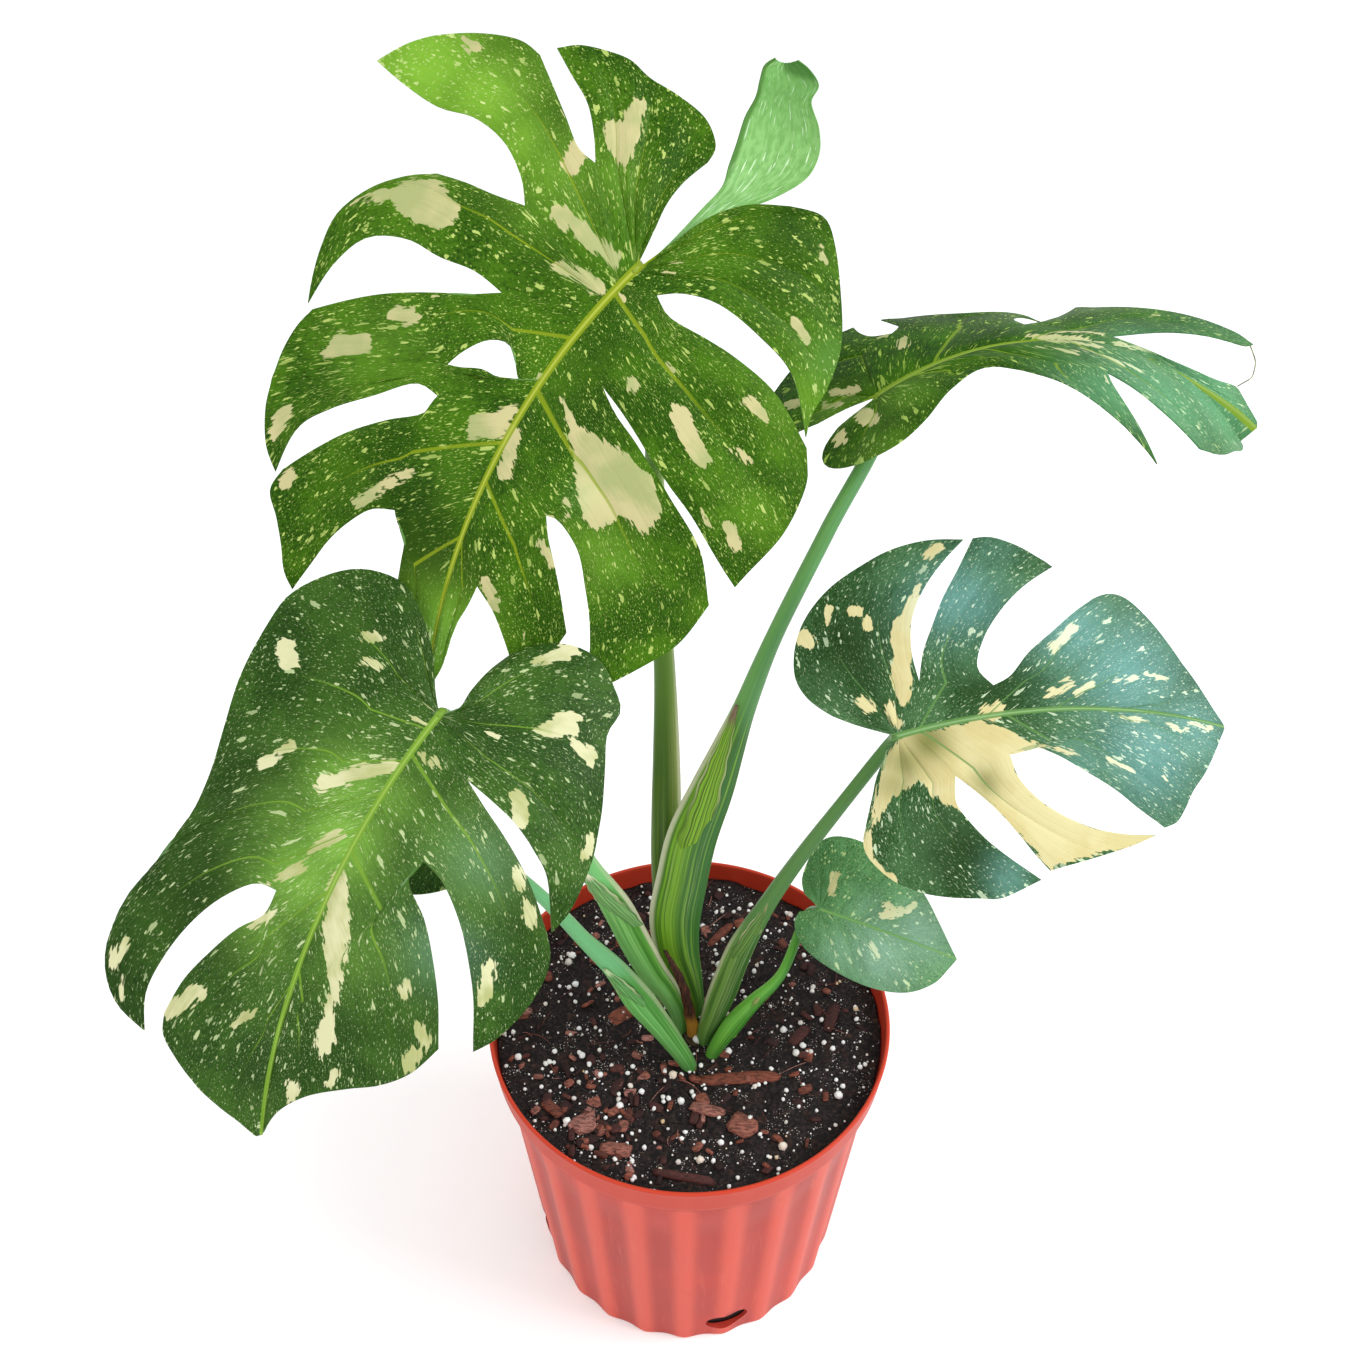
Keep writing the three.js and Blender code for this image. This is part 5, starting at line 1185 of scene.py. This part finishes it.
# ---- stalks ----
# Each way has x, y, z and half its width; the broad lower part is its sheath.
greenSkin = dict(cream=(200, 208, 136), margin=(192, 192, 158), foot=(50, 100, 38), stripes=0,
                 darks=0, paleLeft=0, paleRight=0, split=0)
stalks = [
    dict(name="stalk_high_right", leaf=leafD, head=3.8, grooveAt=1.35,
         way=[[6, 8, 198, 5], [4, 8, 226, 5.5], [-1, 8, 250, 9.5], [-7, 9, 275, 13.5], [-9, 11, 304, 16],
              [-5, 16, 332, 15.4], [1, 22, 364, 15], [13, 31, 397, 12.6], [29, 43, 444, 6.6],
              [44, 52, 488, 4.7], [71, 68, 549, 4.4]],
         look=dict(greenSkin, left=(112, 160, 30), right=(58, 108, 50), light=(146, 192, 62),
                   deep=(58, 104, 20), upper=(88, 144, 84), darks=0.8, stripes=0.4, paleLeft=0.9, split=0.1,
                   shift=(1, 2, 0))),
    dict(name="stalk_largest", leaf=leafA, head=4.5, grooveAt=1.1,
         way=[[-2, 20, 198, 5.5], [-6, 20, 240, 7], [-12, 22, 290, 9], [-14, 32, 330, 9.5], [-14, 44, 368, 9],
              [-14, 60, 398, 8], [-15, 80, 444, 6.3], [-19, 96, 511, 5.5], [-21, 104, 606, 5]],
         look=dict(greenSkin, left=(66, 98, 14), right=(150, 160, 90), light=(104, 134, 34),
                   deep=(46, 76, 10), upper=(88, 126, 36), darks=0.4, paleRight=0.8, split=-0.3,
                   shift=(5, 1, 0))),
    dict(name="stalk_low_left", leaf=leafB, head=3.8, grooveAt=1.75,
         way=[[-6, -3, 198, 5], [-6, -3, 226, 6], [-13, -4, 251, 7.5], [-22, -6, 273, 9], [-31, -9, 302, 9.5],
              [-42, -16, 346, 9], [-54, -26, 388, 6], [-69, -38, 438, 4.6], [-99, -49, 495, 4.2]],
         look=dict(greenSkin, left=(114, 178, 96), right=(88, 154, 56), light=(146, 200, 108),
                   deep=(60, 116, 40), upper=(112, 184, 112), darks=0.55, stripes=0.6, paleRight=0.95,
                   shift=(2, 6, 0))),
    dict(name="stalk_mid_right", leaf=leafC, head=3.2, grooveAt=1.5,
         way=[[10, -12, 198, 5], [10, -12, 217, 5.4], [15, -12, 240, 7.5], [20, -12, 262, 8.8],
              [30, -12, 305, 8], [44, -13, 346, 5.2], [60, -15, 387, 4.4], [80, -17, 432, 3.8]],
         look=dict(greenSkin, left=(96, 136, 56), right=(50, 92, 34), light=(124, 158, 92), deep=(44, 80, 26),
                   upper=(72, 120, 56), darks=0.7, stripes=0.3, paleLeft=0.8, shift=(8, 3, 0))),
    dict(name="stalk_small_right", leaf=leafE, head=2.6, grooveAt=1.6,
         way=[[12, -24, 198, 4], [14, -23, 212, 4.2], [27, -18, 238, 6.5], [39, -13, 253, 5],
              [56, -3, 267, 3.2]],
         look=dict(greenSkin, left=(98, 168, 56), right=(62, 130, 42), light=(140, 190, 80),
                   deep=(52, 110, 34), upper=(52, 116, 50), darks=0.4, shift=(4, 9, 0))),
    dict(name="stalk_small_left", leaf=leafG, head=2.6, grooveAt=1.6,
         way=[[2, -30, 198, 4.6], [0, -31, 212, 5], [-13, -31, 244, 7], [-30, -32, 281, 9.3],
              [-44, -34, 314, 6.5], [-60, -36, 342, 4.6], [-72, -38, 366, 4.2], [-92, -42, 402, 3.4]],
         look=dict(greenSkin, left=(98, 166, 84), right=(74, 140, 56), light=(132, 192, 110),
                   deep=(58, 118, 46), upper=(104, 172, 118), darks=0.4, stripes=0.2, paleRight=0.4,
                   shift=(7, 7, 0))),
]
stalkForm = dict(rings=150, sides=40, samples=1500, sheathDepth=5.6, broadSide=[0, -0.76, 0.65], neckDrop=16,
                 neckBack=5, neckThicker=0.4, skin=0.15, rib=0.16, ribs=13, groove=1.3)


def knottedCurve(knots, t):
    # a smooth curve through 3-D knots whose tangents allow for the knots' spacing; t runs over the knots
    a, b, c, d, w = fourAround(np.vstack([2 * knots[0] - knots[1], knots, 2 * knots[-1] - knots[-2]]), t)
    ab, bc, cd = (np.maximum(np.sqrt(np.linalg.norm(way, axis=1)), 1e-4)[:, None]
                  for way in (b - a, c - b, d - c))
    start = ((b - a) / ab - (c - a) / (ab + bc) + (c - b) / bc) * bc
    end = ((c - b) / bc - (d - b) / (bc + cd) + (d - c) / cd) * bc
    return eased(b, c, start, end, w)


def stalkMesh(stalk):
    # an oval section carried up the way: wide across, shallow in front, ribbed, its sheath grooved
    turn = leafTurn(stalk["leaf"])
    upright = turn @ [0, 0, 1]
    join = np.array(stalk["leaf"]["at"]) - upright * 0.8
    below = join + turn @ [-stalkForm["neckBack"], 0, -stalkForm["neckDrop"]]
    way = np.array(stalk["way"], float)
    knots = np.vstack([way[:, :3], below, join])
    halves = np.array([*way[:, 3], stalk["head"] + stalkForm["neckThicker"], stalk["head"]])
    t = np.linspace(0, len(knots) - 1, stalkForm["samples"])
    curve = knottedCurve(knots, t)
    run = np.append(0, np.cumsum(np.linalg.norm(np.diff(curve, axis=0), axis=1)))
    t = np.interp(np.linspace(0, run[-1], stalkForm["rings"]), run, t)
    centres = knottedCurve(knots, t)
    tangents = unit(np.gradient(centres, axis=0))
    across = unit(np.cross(stalkForm["broadSide"], tangents))
    across[-1] = unit(across[-1] - (across[-1] @ upright) * upright)
    tangents[-1] = upright
    front = unit(np.cross(tangents, across))
    wide = np.interp(t, np.arange(len(halves)), halves)
    wide = np.convolve(np.pad(wide, 4, "edge"), np.ones(9) / 9, "valid")
    left = run[-1] - np.linspace(0, run[-1], stalkForm["rings"])       # what is left of the way to the blade
    deep = np.minimum(wide, stalkForm["sheathDepth"])
    sheath = ease(wide - deep, 0.3, 3)[:, None]
    a = circle(stalkForm["sides"])
    groove = stalkForm["groove"] * sheath * np.exp(-((a - stalk["grooveAt"]) / 0.3) ** 2)
    rib = stalkForm["rib"] * np.cos(stalkForm["ribs"] * a) * (0.35 + 0.65 * sheath)
    domed = np.sqrt(1 - 0.93 * np.clip(1 - left / 4, 0, 1) ** 2)[:, None]
    sideways = (wide[:, None] - stalkForm["skin"] + rib) * np.cos(a) * domed
    forward = (deep[:, None] - stalkForm["skin"] + rib - groove) * np.sin(a) * domed
    points = centres[:, None] + across[:, None] * sideways[..., None] + front[:, None] * forward[..., None]
    rows, columns = points.shape[:2]
    points = np.vstack([points.reshape(-1, 3), centres[:1], centres[-1:]])
    height = np.linspace(0, run[-1] / 100, rows)[:, None]
    uv = np.vstack([rowsOf(height, np.cos(a)), [[0, 0], [run[-1] / 100, 0]]])
    broad = np.append(np.repeat(sheath, columns), [0, 0])
    head = np.append(np.repeat(1 - ease(left, 3, 16), columns), [0, 1])
    return meshOf(stalk["name"] + "_ribbed", points, tubeFaces(rows, columns), {"run": uv},
                  {"sheath": broad, "head": head})


def stalkFinish(stalk):
    look = stalk["look"]
    finish = Finish(stalk["name"] + "_skin", roughness=0.4, specular=0.3)
    run = finish.uv("run")
    u, side = finish.parts(run)[:2]
    sheath, head = finish.attribute("sheath"), finish.attribute("head")
    wide = finish.drawn(run, (1.2, 1.5, 1), shift=look["shift"])
    lines = finish.drawn(run, (0.5, 7, 1), 3, 0.6, look["shift"])
    thin = finish.drawn(run, (1, 24, 1), 2, 0.6, look["shift"])
    sides = finish.smooth(side + 0.3 * (wide - 0.5), look["split"] - 0.5, look["split"] + 0.3)
    finish.body = finish.mix(sides, look["right"], look["left"])
    finish.coat(finish.smooth(lines, 0.5, 0.66) * 0.6, look["light"])
    dark = (1 - finish.smooth(lines, 0.4, 0.46)) * look["darks"]
    finish.coat(dark * (0.3 + 0.7 * sheath), look["deep"])
    finish.coat(finish.smooth(thin, 0.56, 0.62) * look["darks"] * 0.5, look["deep"])
    stripes = finish.smooth(thin, 0.6, 0.64) * finish.smooth(lines, 0.48, 0.55) * sheath
    finish.coat(stripes * look["stripes"], look["cream"])
    finish.coat((1 - sheath) * finish.smooth(u, 0.9, 1.4) * 0.75, look["upper"])
    finish.coat(finish.smooth(side, 0.76, 0.9) * sheath * look["paleLeft"], look["margin"])
    finish.coat(finish.smooth(0 - side, 0.7, 0.85) * (0.3 + 0.7 * sheath) * look["paleRight"], look["margin"])
    finish.coat((1 - finish.smooth(u, 0.05, 0.4)) * 0.5, look["foot"])
    finish.coat(head, looks[stalk["leaf"]["name"]]["vein"])
    return finish.dress(0.34 + 0.18 * wide, thin + 0.5 * lines, 0.3, 0.0006)


for stalk in stalks:
    addPiece(stalk["name"] + "_ribbed", stalkMesh(stalk), [stalkFinish(stalk)], [stalk["name"]])
print("stalks done")

# ---- the short stem and the dried sheath ----
stump = dict(x=3, y=-9, halfWide=9, halfDeep=12, bottom=199, top=215, inset=0.6, rings=26, sides=64)
strip = dict(rows=60, columns=15, passes=3, thickness=1.1)
driedSheath = dict(way=[[4, -11, 206], [1, -12, 235], [-3, -11, 261], [-8, -9, 278], [-15, -6, 294]],
                   halfWidths=[4.2, 4, 3.2, 2.6, 0.8])


def stumpMesh():
    # rings of an oval that narrows upwards, with leaf scars as ridges, closed by a domed top
    z = np.append(np.linspace(0, 1, stump["rings"]), [1.01, 1.03, 1.04])[:, None]
    a = circle(stump["sides"])
    size = (1 - 0.28 * np.minimum(z, 1)) * np.where(z > 1, 1 - (z - 1) * 18, 1)
    scars = 1 + 0.025 * np.sin(z * 26 + 0.8 * np.cos(a)) + 0.02 * np.sin(5 * a + 3 * z)
    x = stump["x"] + (stump["halfWide"] - stump["inset"]) * size * scars * np.cos(a)
    y = stump["y"] + (stump["halfDeep"] - stump["inset"]) * size * scars * np.sin(a)
    height = stump["bottom"] + np.minimum(z, 1) * (stump["top"] - stump["bottom"]) - 0.5
    ends = [[stump["x"], stump["y"], z] for z in (stump["bottom"], stump["top"] - 0.4)]
    return meshOf("stem_scarred", np.vstack([rowsOf(x, y, height), ends]), tubeFaces(*x.shape))


def stripMesh(name, way, cup):
    # a strip across the way's smooth curve, cupped, with a waved edge; a way has x, y, z and half the width
    t, row = knotRows(way, strip["rows"], strip["passes"])
    c = np.linspace(-1, 1, strip["columns"])[None]
    half = row[:, 3:4] * (1 + 0.08 * np.sin(9 * t[:, None] + 2 * c))
    x = row[:, 0:1] + c * half
    y = row[:, 1:2] + cup * c ** 2 + 0.25 * np.sin(6 * c + 3 * t[:, None])
    uv = rowsOf(t[:, None] / t[-1], c)
    return meshOf(name, rowsOf(x, y, row[:, 2:3]), gridFaces(*x.shape), {"run": uv})


def addStrip(name, way, cup, finish, nodes=()):
    piece = addPiece(name, stripMesh(name, way, cup), [finish], nodes)
    thicken(piece, strip["thickness"], 50)


def driedFinish(name, dark, light, tip, strength):
    finish = Finish(name, roughness=0.7, specular=0.3)
    place = finish.place()
    fibre = finish.drawn(place, (900, 900, 90), 3, 0.6)
    finish.body = finish.mix(finish.smooth(fibre, 0.4, 0.7), dark, light)
    finish.coat((1 - finish.smooth(finish.parts(place)[2], 0.228, 0.24)) * strength, tip)
    return finish.dress(None, fibre, 0.7, 0.0007)


addPiece("stem_scarred", stumpMesh(),
         [driedFinish("scarred_stem", (60, 50, 28), (112, 104, 60), (44, 32, 22), 0.5)], ["stem_stump"])
way = [[*place, half * 0.85] for place, half in zip(driedSheath["way"], driedSheath["halfWidths"])]
addStrip("dried_sheath_curled", way, 1.2,
         driedFinish("dried_sheath", (44, 22, 14), (92, 52, 30), (196, 140, 44), 0.75), ["dried_sheath"])

# Where a sheath ends, its free tip stands off the stalk: the colours of its foot and its end, and its way,
# x, y, z and half the width.
sheathTips = dict(
    high_right=((132, 180, 44), (120, 96, 76), [[-6, 19, 338, 4], [1, 17, 366, 8.4], [8, 22, 392, 7.6],
                [15, 29, 416, 5.4], [21, 35, 436, 2.6], [25, 38, 452, 0.4]]),
    mid_right=((104, 146, 66), (150, 140, 96), [[22, -13, 286, 3], [30, -17, 308, 5], [36, -18, 326, 4.6],
               [41, -18, 340, 2.6], [44, -17, 352, 0.4]]),
    low_left=((132, 186, 108), (206, 204, 170), [[-32, -16, 330, 4], [-40, -23, 350, 6.4],
              [-48, -28, 368, 6.4], [-54, -32, 384, 4], [-58, -34, 396, 0.8]]),
    small_right=((116, 178, 64), (150, 160, 90), [[24, -24, 232, 4.6], [31, -21, 242, 4], [37, -18, 252, 2.2],
                 [42, -16, 260, 0.4]]),
    small_left=((112, 178, 98), (170, 190, 140), [[-26, -33, 270, 3], [-32, -37, 286, 5.4],
                [-38, -40, 300, 5], [-44, -41, 312, 2.8], [-49, -42, 322, 0.4]]),
)


def sheathTipFinish(name, base, tip):
    finish = Finish(name + "_sheath_skin", roughness=0.45, specular=0.25)
    run = finish.uv("run")
    u, side = finish.parts(run)[:2]
    lines = finish.drawn(run, (0.5, 6, 1), 3, 0.6)
    finish.body = finish.mix(finish.smooth(lines, 0.42, 0.6), tuple(0.6 * np.array(base)), base)
    finish.coat(finish.smooth(abs(side), 0.78, 0.94) * finish.smooth(u, 0.3, 0.5) * 0.6, (196, 198, 150))
    finish.coat(finish.smooth(u + 0.2 * (lines - 0.5), 0.8, 0.95), tip)
    return finish.dress(None, lines, 0.4, 0.0006)


for name, (foot, tip, way) in sheathTips.items():
    addStrip("sheath_tip_" + name, way, 1.6, sheathTipFinish(name, foot, tip))
print("stem, dried sheath and sheath tips done")
